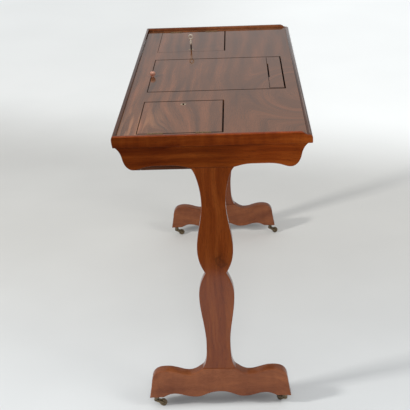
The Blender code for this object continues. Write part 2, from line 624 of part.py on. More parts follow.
def add_castor(label, spot):
    """Plate with a barrel, a fork that swivels in it and a wheel on the fork's riveted axle."""
    bottom = BARREL_TOP - BARREL_HEIGHT
    bore = STEM_RADIUS + FIT_GAP
    bore_top = bottom + STEM_HEIGHT + FIT_GAP
    plate_top = BARREL_TOP + PLATE_THICKNESS
    profile = [(0, plate_top), (PLATE_RADIUS, plate_top), (PLATE_RADIUS, BARREL_TOP)]
    profile += [(BARREL_RADIUS, BARREL_TOP), (BARREL_RADIUS, bottom), (bore, bottom)]
    profile += [(bore, bore_top), (0, bore_top)]
    at_spot = Matrix.Translation(spot)
    add(turned_mesh(f"{label}_castor_socket", profile, SMALL_ROUND_STEPS, at_spot), "dark_bronze")
    swivel = add_pivot(f"{label}_swivel", spot, math.radians(CASTOR_TRAILS[label]))
    placed = swivel.matrix_world
    fork_top = bottom - FIT_GAP
    profile = [(0, bottom + STEM_HEIGHT), (STEM_RADIUS, bottom + STEM_HEIGHT), (STEM_RADIUS, fork_top)]
    profile += [(BARREL_RADIUS, fork_top), (BARREL_RADIUS, fork_top - FORK_PLATE), (0, fork_top - FORK_PLATE)]
    fork = add(turned_mesh(f"{label}_castor_fork", profile, SMALL_ROUND_STEPS, placed), "dark_bronze", swivel)
    inner = WHEEL_WIDTH / 2 + FIT_GAP
    for way in (-1, 1):
        faces = sorted((way * inner, way * (inner + CHEEK_THICKNESS)))
        cheek = cheek_mesh(f"{label}_cheek_{way}", fork_top, faces)
        cheek.transform(placed)
        join(fork, cheek)
    axle_half = inner + CHEEK_THICKNESS / 2
    ends = [placed @ Vector((WHEEL_TRAIL, way * axle_half, WHEEL_RADIUS)) for way in (-1, 1)]
    join(fork, rod_mesh(f"{label}_axle", *ends, AXLE_RADIUS))
    hub = placed @ Vector((WHEEL_TRAIL, 0, WHEEL_RADIUS))
    spin = add_pivot(f"{label}_spin", hub)
    upright = Matrix.Rotation(math.radians(90), 4, "X")
    turn = Matrix.Rotation(math.radians(CASTOR_TRAILS[label]), 4, "Z")
    wheel_at = Matrix.Translation(hub) @ turn @ upright @ Matrix.Rotation(math.radians(90), 4, "Z")
    wheel = turned_mesh(f"{label}_castor_wheel", wheel_profile(), ROUND_STEPS, wheel_at, closed=True)
    add(wheel, "dark_bronze", spin)


def wheel_profile():
    """Half a wheel in section, from its bore out to a rounded tread."""
    half = WHEEL_WIDTH / 2
    shoulder = WHEEL_RADIUS - 0.0008
    bore = AXLE_RADIUS + FIT_GAP
    outer = [(bore, half), (shoulder, half - 0.0003), (WHEEL_RADIUS, half - 0.0016)]
    return outer + [(radius, -height) for radius, height in reversed(outer)]


def cheek_mesh(name, top, thick):
    """One cheek of a fork, from under the barrel out to a round eye on the axle."""
    start = -BARREL_RADIUS / 3
    bm = bmesh.new()
    outline = [(start, top), (start, top - FORK_PLATE)]
    for step in range(ROUND_STEPS // 2 + 1):
        angle = math.radians(-110 + 200 * step / (ROUND_STEPS // 2))
        across = WHEEL_TRAIL + CHEEK_EYE_RADIUS * math.cos(angle)
        outline.append((across, WHEEL_RADIUS + CHEEK_EYE_RADIUS * math.sin(angle)))
    outline[-1] = (WHEEL_TRAIL, min(top, WHEEL_RADIUS + CHEEK_EYE_RADIUS))
    rings = [[bm.verts.new((along, y, up)) for along, up in outline] for y in thick]
    bm.faces.new(rings[0])
    bm.faces.new(rings[1][::-1])
    bmesh.ops.bridge_loops(bm, edges=[e for e in bm.edges if len(e.link_faces) == 1])
    return finish_mesh(bm, name)


def hinge_places():
    return (("back", LID_BACK - HINGE_INSET), ("front", LID_FRONT + HINGE_INSET))


def hinge_pocket(name, side, y, outward):
    """Space for a leaf and the knuckle, cut into the edge on one side of the hinge's axis."""
    reach = SIDE_GAP / 2 + HINGE_LEAF_THICKNESS + FIT_GAP
    reach = max(reach, KNUCKLE_RADIUS + KNUCKLE_CLEARANCE)
    ends = (HINGE_END - outward * SIDE_GAP, HINGE_END + outward * reach)
    half = HINGE_LENGTH / 2 + FIT_GAP
    up = (TOP_SURFACE - HINGE_LEAF_HEIGHT - FIT_GAP, TOP_SURFACE + CUT_OVERRUN)
    return sided_box(name, side, ends, (y - half, y + half), up)


def add_leaf(name, side, y, outward, knuckles, pivot=None):
    """One leaf of a butt hinge with its knuckles, each a (start, end) along the axis."""
    inner = SIDE_GAP / 2
    ends = (HINGE_END + outward * inner, HINGE_END + outward * (inner + HINGE_LEAF_THICKNESS))
    half = HINGE_LENGTH / 2
    plate_top = TOP_SURFACE - KNUCKLE_RADIUS - KNUCKLE_CLEARANCE
    up = (TOP_SURFACE - HINGE_LEAF_HEIGHT, plate_top)
    leaf = add(sided_box(name, side, ends, (y - half, y + half), up), "old_brass", pivot)
    for number, (start, end) in enumerate(knuckles):
        tab_up = (plate_top - KNUCKLE_RADIUS, TOP_SURFACE)
        join(leaf, sided_box(f"{name}_tab_{number}", side, ends, (y + start, y + end), tab_up))
        axis = [(side * HINGE_END, y + along, TOP_SURFACE) for along in (start, end)]
        join(leaf, rod_mesh(f"{name}_knuckle_{number}", *axis, KNUCKLE_RADIUS))
    return leaf


def add_hinge(label, side, place, y, lid_pivot):
    """Butt hinge: the fixed leaf keeps the pin, and the lid's leaf turns on it."""
    half = HINGE_LENGTH / 2
    middle = MIDDLE_KNUCKLE_LENGTH / 2
    outer = ((-half, -middle - FIT_GAP), (middle + FIT_GAP, half))
    fixed = add_leaf(f"{label}_{place}_fixed_leaf", side, y, 1, outer)
    inset = half / 10
    pin = [(side * HINGE_END, y + way * (half - inset), TOP_SURFACE) for way in (-1, 1)]
    join(fixed, rod_mesh(f"{label}_{place}_hinge_pin", *pin, HINGE_PIN_RADIUS))
    moving = add_leaf(f"{label}_{place}_lid_leaf", side, y, -1, ((-middle, middle),), lid_pivot)
    bore = [(side * HINGE_END, y + way * half, TOP_SURFACE) for way in (-1, 1)]
    cut(moving, rod_mesh(f"{label}_{place}_knuckle_bore", *bore, HINGE_PIN_RADIUS + ROD_CLEARANCE))


def keyhole_cutters(name, side, up, clearance=0.0):
    """Round hole and slot that the key's shank and bit go through."""
    end = side * KEYHOLE_END
    axis = [(end, LID_MIDDLE, level) for level in up]
    slot = KEYHOLE_SLOT_WIDTH / 2 + clearance
    low = (end - slot, LID_MIDDLE - KEYHOLE_SLOT_LENGTH - clearance, up[0])
    return [
        rod_mesh(f"{name}_round", *axis, KEYHOLE_RADIUS + clearance, ROUND_STEPS),
        box_mesh(f"{name}_slot", low, (end + slot, LID_MIDDLE, up[1])),
    ]


def add_lid(label, side):
    pivot = add_pivot(f"{label}_lid_pivot", (side * HINGE_END, LID_MIDDLE, TOP_SURFACE))
    ends = (LID_INNER_END, LID_OUTER_END)
    up = (TOP_UNDERSIDE, TOP_SURFACE)
    lid = add(sided_box(f"{label}_lid", side, ends, (LID_FRONT, LID_BACK), up), "top_mahogany", pivot)
    for place, y in hinge_places():
        cut(lid, hinge_pocket(f"lid_pocket_{label}_{place}", side, y, -1))
        add_hinge(label, side, place, y, pivot)
    through = (TOP_UNDERSIDE - CUT_OVERRUN, TOP_SURFACE + CUT_OVERRUN)
    for cutter in keyhole_cutters(f"{label}_lid_keyhole", side, through):
        cut(lid, cutter)
    recess_floor = TOP_SURFACE - ESCUTCHEON_THICKNESS - FIT_GAP
    axis = [(side * KEYHOLE_END, LID_MIDDLE, level) for level in (recess_floor, through[1])]
    recess_radius = ESCUTCHEON_RADIUS + FIT_GAP
    cut(lid, rod_mesh(f"{label}_escutcheon_recess", *axis, recess_radius, ROUND_STEPS))
    axis = [(side * KEYHOLE_END, LID_MIDDLE, TOP_SURFACE - depth) for depth in (ESCUTCHEON_THICKNESS, 0)]
    plate = rod_mesh(f"{label}_escutcheon", *axis, ESCUTCHEON_RADIUS, ROUND_STEPS)
    escutcheon = add(plate, "old_brass", pivot)
    for cutter in keyhole_cutters(f"{label}_escutcheon_keyhole", side, through):
        cut(escutcheon, cutter)
    add_lock(label, side, pivot)


def add_lock(label, side, pivot):
    """Box lock under a lid's inner edge, with a bolt that shoots into the partition."""
    ends = (LOCK_INNER_END, LOCK_INNER_END + LOCK_LENGTH)
    across = (LID_MIDDLE - LOCK_BREADTH / 2, LID_MIDDLE + LOCK_BREADTH / 2)
    up = (LOCK_TOP - LOCK_DEPTH, LOCK_TOP)
    case = add(sided_box(f"{label}_lock_case", side, ends, across, up), "old_brass", pivot)
    hollow_ends = (ends[0] + LOCK_WALL, ends[1] - LOCK_WALL)
    hollow_across = (across[0] + LOCK_WALL, across[1] - LOCK_WALL)
    hollow_up = (LOCK_FLOOR, LOCK_TOP - LOCK_WALL)
    cut(case, sided_box(f"{label}_lock_hollow", side, hollow_ends, hollow_across, hollow_up))
    hole_up = (hollow_up[1] - LOCK_WALL, LOCK_TOP + LOCK_WALL)
    for cutter in keyhole_cutters(f"{label}_lock_keyhole", side, hole_up):
        cut(case, cutter)
    bolt_across, bolt_up = bolt_section(BOLT_CLEARANCE)
    slot_ends = (ends[0] - CUT_OVERRUN, ends[0] + 2 * LOCK_WALL)
    cut(case, sided_box(f"{label}_bolt_slot", side, slot_ends, bolt_across, bolt_up))
    bolt_pivot = add_pivot(f"{label}_bolt_slide", (side * LOCK_INNER_END, BOLT_Y, BOLT_Z), parent=pivot)
    bolt_across, bolt_up = bolt_section(0.0)
    bolt_ends = (ends[0], ends[0] + BOLT_LENGTH)
    add(sided_box(f"{label}_bolt", side, bolt_ends, bolt_across, bolt_up), "old_brass", bolt_pivot)


def bolt_section(clearance):
    across = (BOLT_Y - BOLT_BREADTH / 2 - clearance, BOLT_Y + BOLT_BREADTH / 2 + clearance)
    up = (BOLT_Z - BOLT_THICKNESS / 2 - clearance, BOLT_Z + BOLT_THICKNESS / 2 + clearance)
    return across, up


def strike_pocket(name, side):
    across, up = bolt_section(2 * BOLT_CLEARANCE)
    ends = (PARTITION_OUTER_END - STRIKE_DEPTH, PARTITION_OUTER_END + CUT_OVERRUN / 5)
    return sided_box(name, side, ends, across, up)


def add_key(lid_pivot):
    """Key standing in the right lid: an oval bow, a round shank and a bit in the lock."""
    side = 1
    middle = Vector((side * KEYHOLE_END, LID_MIDDLE, 0))
    pivot = add_pivot("key_turn", middle + Vector((0, 0, TOP_SURFACE)), parent=lid_pivot)
    tip = LOCK_FLOOR + KEY_TIP_CLEARANCE
    bow_bottom = TOP_SURFACE + KEY_STANDING_HEIGHT - KEY_BOW_HEIGHT
    shank_top = bow_bottom + KEY_BOW_BAR
    axis = [middle + Vector((0, 0, level)) for level in (tip, shank_top)]
    key = add(rod_mesh("key", *axis, KEY_SHANK_RADIUS), "old_brass", pivot)
    bit_low = middle + Vector((-KEY_BIT_THICKNESS / 2, -KEY_BIT_LENGTH, tip))
    bit_high = middle + Vector((KEY_BIT_THICKNESS / 2, 0, tip + KEY_BIT_HEIGHT))
    join(key, box_mesh("key_bit", bit_low, bit_high))
    join(key, bow_mesh("key_bow", middle, bow_bottom))


def bow_mesh(name, middle, bottom):
    """Oval ring of round bar, standing in the plane across the table's length."""
    bm = bmesh.new()
    centre = bottom + KEY_BOW_HEIGHT / 2
    reach = ((KEY_BOW_BREADTH - KEY_BOW_BAR) / 2, (KEY_BOW_HEIGHT - KEY_BOW_BAR) / 2)
    rings = []
    for step in range(ROUND_STEPS):
        angle = math.tau * step / ROUND_STEPS
        ring = []
        for turn in range(8):
            around = math.tau * turn / 8
            out = KEY_BOW_BAR / 2 * math.cos(around)
            y = (reach[0] + out) * math.cos(angle)
            z = (reach[1] + out) * math.sin(angle)
            x = KEY_BOW_BAR / 2 * math.sin(around)
            ring.append(bm.verts.new((middle.x + x, middle.y + y, centre + z)))
        rings.append(ring)
    for ring, following in zip(rings, rings[1:] + rings[:1]):
        for turn in range(8):
            nearest = (turn + 1) % 8
            bm.faces.new((ring[turn], ring[nearest], following[nearest], following[turn]))
    return finish_mesh(bm, name)


def pin_hole(name, side):
    """Hole for a panel pivot pin, through the cheek into the top and the ledge."""
    grip, socket = pin_ends()
    clearance = ROD_CLEARANCE
    ends = [(side * end, PIVOT_Y, PIVOT_Z) for end in (grip - clearance, socket + clearance)]
    return rod_mesh(name, *ends, PANEL_PIN_RADIUS + clearance)


def pin_ends():
    return PANEL_HALF - LEDGE_CHEEK - FIT_GAP - PANEL_PIN_GRIP, PANEL_HALF + SIDE_GAP + PANEL_PIN_SOCKET


def ledge_outline():
    """Book ledge in section: rounded in front about the pivot pins, and leaning in behind, to turn clear."""
    back = PANEL_FRONT + LEDGE_WIDTH
    underside = TOP_SURFACE - LEDGE_THICKNESS
    sweep = PIVOT_Z - underside
    back_below = PIVOT_Y + math.sqrt((back - PIVOT_Y) ** 2 - sweep**2)
    outline = [(PIVOT_Y, underside), (back_below, underside), (back, TOP_SURFACE)]
    for step in range(ROUND_STEPS // 4 + 1):
        angle = math.radians(90 + 90 * step / (ROUND_STEPS // 4))
        outline.append((PIVOT_Y + PIVOT_INSET * math.cos(angle), PIVOT_Z + PIVOT_INSET * math.sin(angle)))
    outline.append((PANEL_FRONT, PIVOT_Z - math.sqrt(sweep**2 - PIVOT_INSET**2)))
    return outline


def add_slope():
    pivot = add_pivot("slope_pivot", (0, PIVOT_Y, PIVOT_Z))
    low = (-PANEL_HALF, PANEL_FRONT, TOP_UNDERSIDE)
    panel = add(box_mesh("reading_panel", low, (PANEL_HALF, LID_BACK, TOP_SURFACE)), "top_mahogany", pivot)
    bed_half = PANEL_HALF - LEDGE_CHEEK
    ledge_back = PANEL_FRONT + LEDGE_WIDTH
    low = (-bed_half, PANEL_FRONT - CUT_OVERRUN, TOP_SURFACE - LEDGE_THICKNESS - FIT_GAP)
    high = (bed_half, ledge_back + SWING_GAP, TOP_SURFACE + CUT_OVERRUN)
    cut(panel, box_mesh("ledge_bed", low, high))
    ledge_pivot = add_pivot("ledge_pivot", (0, PIVOT_Y, PIVOT_Z), parent=pivot)
    ledge_half = bed_half - FIT_GAP
    ledge_mesh = prism_mesh("book_ledge", ledge_outline(), -ledge_half, ledge_half)
    ledge = add(ledge_mesh, "top_mahogany", ledge_pivot)
    slot = FINGER_SLOT_LENGTH / 2
    slot_low = TOP_SURFACE - LEDGE_THICKNESS - CUT_OVERRUN
    low = (FINGER_SLOT_SHIFT - slot, ledge_back - FINGER_SLOT_WIDTH, slot_low)
    high = (FINGER_SLOT_SHIFT + slot, ledge_back + CUT_OVERRUN, TOP_SURFACE + CUT_OVERRUN)
    cut(ledge, box_mesh("finger_slot", low, high))
    for label, side in SIDES:
        cut(panel, pin_hole(f"panel_pin_hole_{label}", side))
        cut(ledge, pin_hole(f"ledge_pin_hole_{label}", side))
        axis = [(side * end, PIVOT_Y, PIVOT_Z) for end in pin_ends()]
        add(rod_mesh(f"{label}_panel_pin", *axis, PANEL_PIN_RADIUS), "old_brass")
    add_knob(pivot)
    add_prop(pivot)


def add_knob(pivot):
    """Turned lift knob on the panel's back edge."""
    base = TOP_SURFACE + FIT_GAP
    centre = base + KNOB_HEIGHT - KNOB_RADIUS
    profile = []
    for step in range(7):
        angle = math.radians(90 - 140 * step / 6)
        profile.append((KNOB_RADIUS * math.cos(angle), centre + KNOB_RADIUS * math.sin(angle)))
    profile += [(KNOB_NECK_RADIUS, base + 0.0035), (KNOB_NECK_RADIUS, base + 0.0022)]
    profile += [(KNOB_BASE_RADIUS, base + 0.0014), (KNOB_BASE_RADIUS, base), (0, base)]
    spot = Matrix.Translation((KNOB_SHIFT, LID_BACK - KNOB_EDGE_INSET, 0))
    add(turned_mesh("slope_knob", profile, SMALL_ROUND_STEPS, spot), "old_brass", pivot)


def prop_outline():
    """Prop in section: a round eye on the rod, a straight blade and a round foot."""
    along = Vector((math.cos(PROP_SLOPE), -math.sin(PROP_SLOPE)))
    square = Vector((-along.y, along.x))
    eye = Vector((ROD_Y, ROD_Z))
    foot = eye + along * PROP_LENGTH
    outline = []
    rounds = ((eye, PROP_EYE_RADIUS, 45, 270), (foot, PROP_THICKNESS / 2, -90, 180))
    for centre, radius, start, sweep in rounds:
        for step in range(ROUND_STEPS // 2 + 1):
            angle = math.radians(start + sweep * step / (ROUND_STEPS // 2))
            outline.append(tuple(centre + radius * (math.cos(angle) * along + math.sin(angle) * square)))
    return outline


def add_prop(slope_pivot):
    """Prop strut forked round a cleat under the panel, on a brass rod through both."""
    cleat_low = (-CLEAT_BREADTH / 2, ROD_Y - CLEAT_LENGTH / 2, ROD_Z - PROP_ROD_RADIUS - CLEAT_LIP)
    cleat_high = (CLEAT_BREADTH / 2, ROD_Y + CLEAT_LENGTH / 2, TOP_UNDERSIDE - FIT_GAP)
    cleat = add(box_mesh("prop_cleat", cleat_low, cleat_high), "inner_wood", slope_pivot)
    half = PROP_BREADTH / 2
    rod = [(way * half, ROD_Y, ROD_Z) for way in (-1, 1)]
    hole = [(way * (half + CUT_OVERRUN), ROD_Y, ROD_Z) for way in (-1, 1)]
    hole_radius = PROP_ROD_RADIUS + ROD_CLEARANCE
    cut(cleat, rod_mesh("cleat_rod_hole", *hole, hole_radius))
    add(rod_mesh("prop_rod", *rod, PROP_ROD_RADIUS), "old_brass", slope_pivot)
    pivot = add_pivot("prop_pivot", (0, ROD_Y, ROD_Z), parent=slope_pivot)
    prop = add(prism_mesh("prop_strut", prop_outline(), -half, half), "inner_wood", pivot)
    cut(prop, rod_mesh("prop_rod_hole", *hole, hole_radius))
    fork_half = CLEAT_BREADTH / 2 + SIDE_GAP
    low = (-fork_half, ROD_Y - CLEAT_LENGTH, ROD_Z - CLEAT_LENGTH)
    high = (fork_half, ROD_Y + PROP_FORK_DEPTH, ROD_Z + CLEAT_LENGTH)
    cut(prop, box_mesh("prop_fork_gap", low, high))


def main():
    for leftover in list(bpy.data.objects):
        bpy.data.objects.remove(leftover, do_unlink=True)
    add_top()
    add_carcass()
    add_trestles()
    for label, spot in castor_places():
        add_castor(label, spot)
    for label, side in SIDES:
        add_lid(label, side)
    add_key(bpy.data.objects["right_lid_pivot"])
    add_slope()


main()
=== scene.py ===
"""Looks of the reading table: polished mahogany, eased and moulded edges, old brass and bronze castors.

Units are metres and +Z is up. The reader sits at -Y, the table's length runs along X, and the end nearest
the camera is the left one (-X).
"""

import math

import bmesh
import bpy
import numpy as np
from mathutils import Matrix, Vector


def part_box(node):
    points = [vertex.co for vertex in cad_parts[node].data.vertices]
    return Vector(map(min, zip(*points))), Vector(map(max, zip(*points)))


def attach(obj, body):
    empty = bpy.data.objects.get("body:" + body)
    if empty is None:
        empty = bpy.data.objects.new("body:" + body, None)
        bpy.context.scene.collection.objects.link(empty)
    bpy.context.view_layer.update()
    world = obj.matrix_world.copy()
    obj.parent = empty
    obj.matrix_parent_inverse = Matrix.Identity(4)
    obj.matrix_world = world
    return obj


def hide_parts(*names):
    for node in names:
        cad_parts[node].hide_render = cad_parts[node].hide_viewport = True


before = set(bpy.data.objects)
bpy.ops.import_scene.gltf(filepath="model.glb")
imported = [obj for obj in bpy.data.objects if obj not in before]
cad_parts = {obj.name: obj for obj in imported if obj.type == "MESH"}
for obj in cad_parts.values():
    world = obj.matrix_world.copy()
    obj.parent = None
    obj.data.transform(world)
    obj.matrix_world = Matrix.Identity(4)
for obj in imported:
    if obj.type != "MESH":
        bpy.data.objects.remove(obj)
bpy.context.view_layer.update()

SIDES = ("left", "right")
CORNERS = ("left_back", "left_front", "right_back", "right_front")

# How finely the surfaces are divided
CURVE_POINTS = 22
CHEEK_CURVE_POINTS = 12
CHEEK_EYE_POINTS = 24
KNOB_BALL_POINTS = 18
EASE_STEPS = 4
TURN_STEPS = 48
SMALL_TURN_STEPS = 32
BOW_BAR_STEPS = 20
KEYHOLE_STEPS = 96
BEVEL_SEGMENTS = 3
SMOOTH_TURN = math.radians(40)  # faces that turn by more meet in an edge
FLAT_TURN = math.radians(0.5)  # faces that turn by less are one flat face
MERGE_DISTANCE = 1e-6
LEAST_SINE = 1e-6  # keeps a division by a sine finite
FACE_RIM = 0.0008  # flat strip kept between an eased edge and the rest of a face

# Eased edges
LIP_EASE = 0.0020
LIP_FOOT_EASE = 0.0005
BEARER_EASE = 0.0010
STANDARD_EASE = 0.0016
FOOT_EASE = 0.0020
SEAT_EASE = 0.0003
SEAT_TOLERANCE = 0.0008  # points this near the seat's height have its ease
BOARD_EASE = 0.0014
LEAF_EASE = 0.00025
METAL_EASE = 0.0004
KEY_BIT_EASE = 0.0002
SHARP_TURN = math.radians(95)  # an outline that turns by more comes to a point, where the ease dies out
SHARP_REACH = 0.008
LEAST_EASE_SHARE = 0.02
LEAST_CORNER_REACH = 0.6  # limits how much an inward step is lengthened at a corner

# Mouldings of the top
NOSING_RADIUS = 0.0075
LOWER_EDGE_RADIUS = 0.0025
LIP_DROP_LENGTH = 0.022
GALLERY_ROUND = 0.0018
BACK_TOP_INSET = 0.0036
BACK_FOOT_INSET = 0.0025
BACK_FULL_DROP = 0.0095
ROUND_PULL = 0.55  # pull of a cubic curve that draws a quarter circle

# Trestle: lines across the table and heights that the outlines go through
BEARER_TURN_INSET = 0.0156
BEARER_TURN_SHARE = 0.49  # of the bearer's height, where its cyma end turns over
BEARER_BELLY_INSET = 0.042
BEARER_ARCH_INSET = 0.098
BEARER_ARCH_DROP = 0.0478
BEARER_SHOULDER_DROP = 0.0555
SHOULDER_HALF = 0.052
SHOULDER_SWEEP = 0.045  # from the shoulder out to the arch
NECK = (0.0295, 0.457)  # half breadth, height above the foot's seat
UPPER_BULGE = (0.0445, 0.338)
WAIST = (0.0258, 0.2725)
LOWER_BULGE = (0.0442, 0.210)
LOWER_NECK = (0.0306, 0.075)
STANDARD_BASE_HALF = 0.043
JOINT_GAP = 0.0003
FOOT_DIP_REACH = 0.035  # from the standard's base out to the dip
FOOT_DIP_HEIGHT = 0.067
FOOT_HUMP_INSET = 0.047
FOOT_HUMP_HEIGHT = 0.0785
FOOT_SIDE_INSET = 0.0085
FOOT_SIDE_HEIGHT = 0.052
FOOT_ARCH_INSET = 0.065
FOOT_ARCH_HEIGHT = 0.010
FOOT_MIDDLE_ARCH_HEIGHT = 0.015
FOOT_LOBE = 0.062
FOOT_PAD_LENGTH = 0.032

# Castors, and the direction in which each wheel trails, in degrees from +X
CASTOR_TRAILS = dict(zip(CORNERS, (-100.0, 40.0, -106.0, -112.0)))
WHEEL_TRAIL = 0.0181
WHEEL_RADIUS = 0.010
WHEEL_HALF_WIDTH = 0.00375
AXLE_RADIUS = 0.0015
BORE_GAP = 0.0003  # between a bore and its pin
BARREL_RADIUS = 0.0068
PLATE_THICKNESS = 0.0017
STEM_RADIUS = 0.0025
STEM_BORE = 0.0083
CHEEK_THICKNESS = 0.0018
CHEEK_ROOT_DEPTH = 0.0030
CHEEK_ROOT_ENDS = (-0.5, 0.9)  # in radii of the barrel, along the trail
CHEEK_EYE_RADIUS = 0.0035
CHEEK_EYE_ARC = (-125.0, 70.0)  # degrees above the axle's level

# Knob, key and escutcheons
KNOB_BALL_SQUASH = 0.96
KNOB_BALL_ARC = (84.0, -58.0)  # degrees above the ball's middle
KEY_BOW_HEIGHT = 0.0185
KEY_BOW_BAR = 0.0056
KEY_BOW_THIN = 0.86  # the bar's thickness at the bow's sides, as a share of the thickness at its ends
KEY_SHANK_SHARE = 0.7  # of the bar's thickness, how far the shank goes up into the bow
KEY_BIT_HALF = 0.0009
ESCUTCHEON_SPREAD = 0.0012  # the ring's rim beyond its plate
KEYHOLE_RADIUS = 0.0026
KEYHOLE_SLOT = (0.0068, 0.0022)  # half length along the table, half breadth
# An escutcheon in section: share of the way from the keyhole to the rim, and height above the plate's top
ESCUTCHEON_SECTION = (
    (0.0, -0.0005), (0.06, -0.0001), (0.3, 0.00025), (0.6, 0.00035), (0.85, 0.00025),
    (0.97, 0.0), (1.0, -0.0005), (1.0, -0.0012), (0.0, -0.0012),
)

# Wood: dark, middle and light tones
VENEER_TONES = ((0.066, 0.037, 0.024), (0.165, 0.068, 0.031), (0.300, 0.110, 0.047))
EDGE_TONES = ((0.070, 0.011, 0.002), (0.118, 0.022, 0.003), (0.185, 0.042, 0.006))
FAR_EDGE_TONES = ((0.083, 0.021, 0.010), (0.141, 0.041, 0.015), (0.221, 0.077, 0.030))
LONG_EDGE_TONES = ((0.040, 0.015, 0.008), (0.070, 0.026, 0.013), (0.110, 0.042, 0.022))
LEG_TONES = ((0.100, 0.019, 0.003), (0.140, 0.030, 0.005), (0.184, 0.046, 0.008))
FOOT_TONES = ((0.128, 0.036, 0.014), (0.180, 0.055, 0.021), (0.240, 0.078, 0.029))
# The inner wood is darker than the outer mahogany, partly as painted shade for the wells seen under the top
INNER_TONES = ((0.040, 0.011, 0.004), (0.066, 0.019, 0.007), (0.105, 0.034, 0.013))
TONE_PLACES = (0.28, 0.50, 0.74)  # values of the figure that show the three tones
PORE_COLOUR = (0.020, 0.007, 0.003)
# Colour of the top's dirt, and of the painted shade in its joints, keyholes and finger slot
DIRT_AND_SHADE_COLOUR = (0.004, 0.002, 0.001)
# Pale colour of the painted highlight along the front edge's crest
SHEEN_COLOUR = (0.27, 0.22, 0.19)

# Wood: least and greatest roughness, and the polish's weight, its roughness and the shine of the bare wood
VENEER_GLOSS = (0.30, 0.42)
EDGE_GLOSS = (0.30, 0.44)
LEG_GLOSS = (0.30, 0.42)
FOOT_GLOSS = (0.32, 0.46)
INNER_GLOSS = (0.55, 0.72)
EDGE_COAT = (0.6, 0.12, 0.0)
LONG_EDGE_COAT = (1.0, 0.10, 0.0)
LEG_COAT = (0.9, 0.12, 0.0)
FOOT_COAT = (0.6, 0.15, 0.0)
INNER_COAT = (0.0, 0.3, 0.15)
VENEER_COAT = (0.07, 0.0)  # its weight depends on the dirt and painted shade
POLISH_BY_DIRT_AND_SHADE = (0.1, 0.8, 1.0, 0.15)  # two amounts of dirt and painted shade, and the polish's weight at each
POLISH_IOR = 1.5

# Wood: scales of the grain's noises along it and across it
RIBBON_SCALE = (2.6, 62.0)
FOOT_RIBBON_SCALE = (7.0, 30.0)
CURL_SCALE = (70.0, 14.0, 14.0)
FIBRE_SCALE = (16.0, 620.0, 620.0)
PORE_SCALE = (75.0, 1500.0, 1500.0)
WARP_SCALE = 4.0
CLOUD_SCALE = 5.0
DULL_CLOUD_SCALE = 9.0

# Wood: how strongly these noises show
WARP_RISE = 0.7  # bend of the grain upwards, as a share of its bend sideways
CLOUD_WEIGHT = 0.35
PORE_EDGE = (0.60, 0.72)  # values of the noise between which a pore begins
PORE_WEIGHT = 0.45
PORE_ROUGHNESS = 0.10
FIBRE_SHADES = (0.25, 0.75, 0.80, 1.18)  # two values of the noise, and the shade at each
FIBRE_RELIEF = 0.35
# How strongly the top's dirt and painted shade darken it
DIRT_AND_SHADE_WEIGHT = 0.95
GRAIN_RELIEF = 0.00012
RELIEF_STRENGTH = 0.5

# A turn that lays the grain's axis along X
GRAIN_TURNS = {
    "X": (0.0, 0.0, 0.0),
    "Y": (0.0, 0.0, math.radians(-90)),
    "Z": (0.0, math.radians(90), 0.0),
}

# Shading of a piece: an axis, two places on it, and the shade at each
# Painted light and shade: the near lip lighter towards the reader's side and darker towards the back
LIP_PAINTED_SHADING = ("Y", -0.22, 0.22, 1.16, 0.76)
# Painted highlight along the near lip's top edge
CREST_PAINTED_HIGHLIGHT = ("Z", 0.7462, 0.7490, 1.0, 1.9)
# Painted light and shade: the bearers lighter towards the reader's side and darker from the middle back
BEARER_PAINTED_SHADING = ("Y", -0.16, 0.02, 1.15, 0.75)
# Painted light: the long edges paler towards the far end
FAR_END_PAINTED_LIGHT = ("X", 0.40, 0.55, 1.0, 1.8)
NECK_FADE = ("Z", 0.37, 0.42, 1.0, 0.92)

# Painted highlight along the front edge's crest, where its round catches the light, and how far from it the
# highlight thins out
SHEEN_LINE = -0.2318
SHEEN_REACH = (0.0004, 0.0020)
SHEEN_CLOUD = (0.2, 0.6)  # values of the cloud between which the painted highlight sets in
SHEEN_WEIGHT = 0.8

# Small knot of the left standard
SMALL_KNOT = (-0.010, 0.419)  # place across the table, height
SMALL_KNOT_SQUASH = 0.8
SMALL_KNOT_REACH = (0.004, 0.027)
SMALL_KNOT_WAVER = 0.034
SMALL_KNOT_WAVER_SCALE = 60.0
SMALL_KNOT_RING_SCALE = 150.0
SMALL_KNOT_RING_EDGE = (0.25, 0.62)  # values of the noise between which a ring darkens
SMALL_KNOT_WEIGHT = 0.62
SMALL_KNOT_COLOUR = (0.035, 0.010, 0.003)
LEFT_HALF = (0.0, -0.1)  # along the table, where the left standard's own marks set in

# Figure of the top's veneer: scales of its noises along it and across it, and weights
VENEER_WARP_SCALE = (2.2, 5.0, 1.0)
BROAD_SCALE = (2.4, 32.0, 1.0)
FINE_SCALE = (4.5, 115.0, 1.0)
MOTTLE_SCALE = (9.0, 20.0, 1.0)
STREAK_SCALE = (4.0, 88.0, 1.0)
BROAD_WEIGHT = 0.70
FINE_WEIGHT = 0.22
MOTTLE_WEIGHT = 0.12

# Lines of the top's veneer, and its rubbed corner
KNOT_CENTRE = (-0.20, -0.235)
KNOT_STRETCH = 1.9
KNOT_RADIUS = 0.17
KNOT_CORE_SHARE = 0.35  # of the radius, within which the rings are whole
KNOT_RING_TIGHTNESS = 0.8
GRAIN_SLANT = 0.01
GRAIN_WARP = 0.05
FLAME_START = -0.27  # the figure leans from here to the left end
FLAME_BAND = (0.00, 0.07, 0.11, 0.17)  # across the table, where the lean starts, is full, fades and ends
FLAME_LEAN = 0.18
QUIET_BAND = (-0.05, 0.12, 0.62, 1.10)  # two places across the table, and the figure's contrast at each
RUBBED_ALONG = (-0.26, -0.48)
RUBBED_ACROSS = (0.07, 0.18)
RUBBED_COLOUR = (0.42, 0.185, 0.085)
RUBBED_WEIGHT = 0.65
STREAK_EDGE = (0.46, 0.60)  # values of the noise between which a streak begins

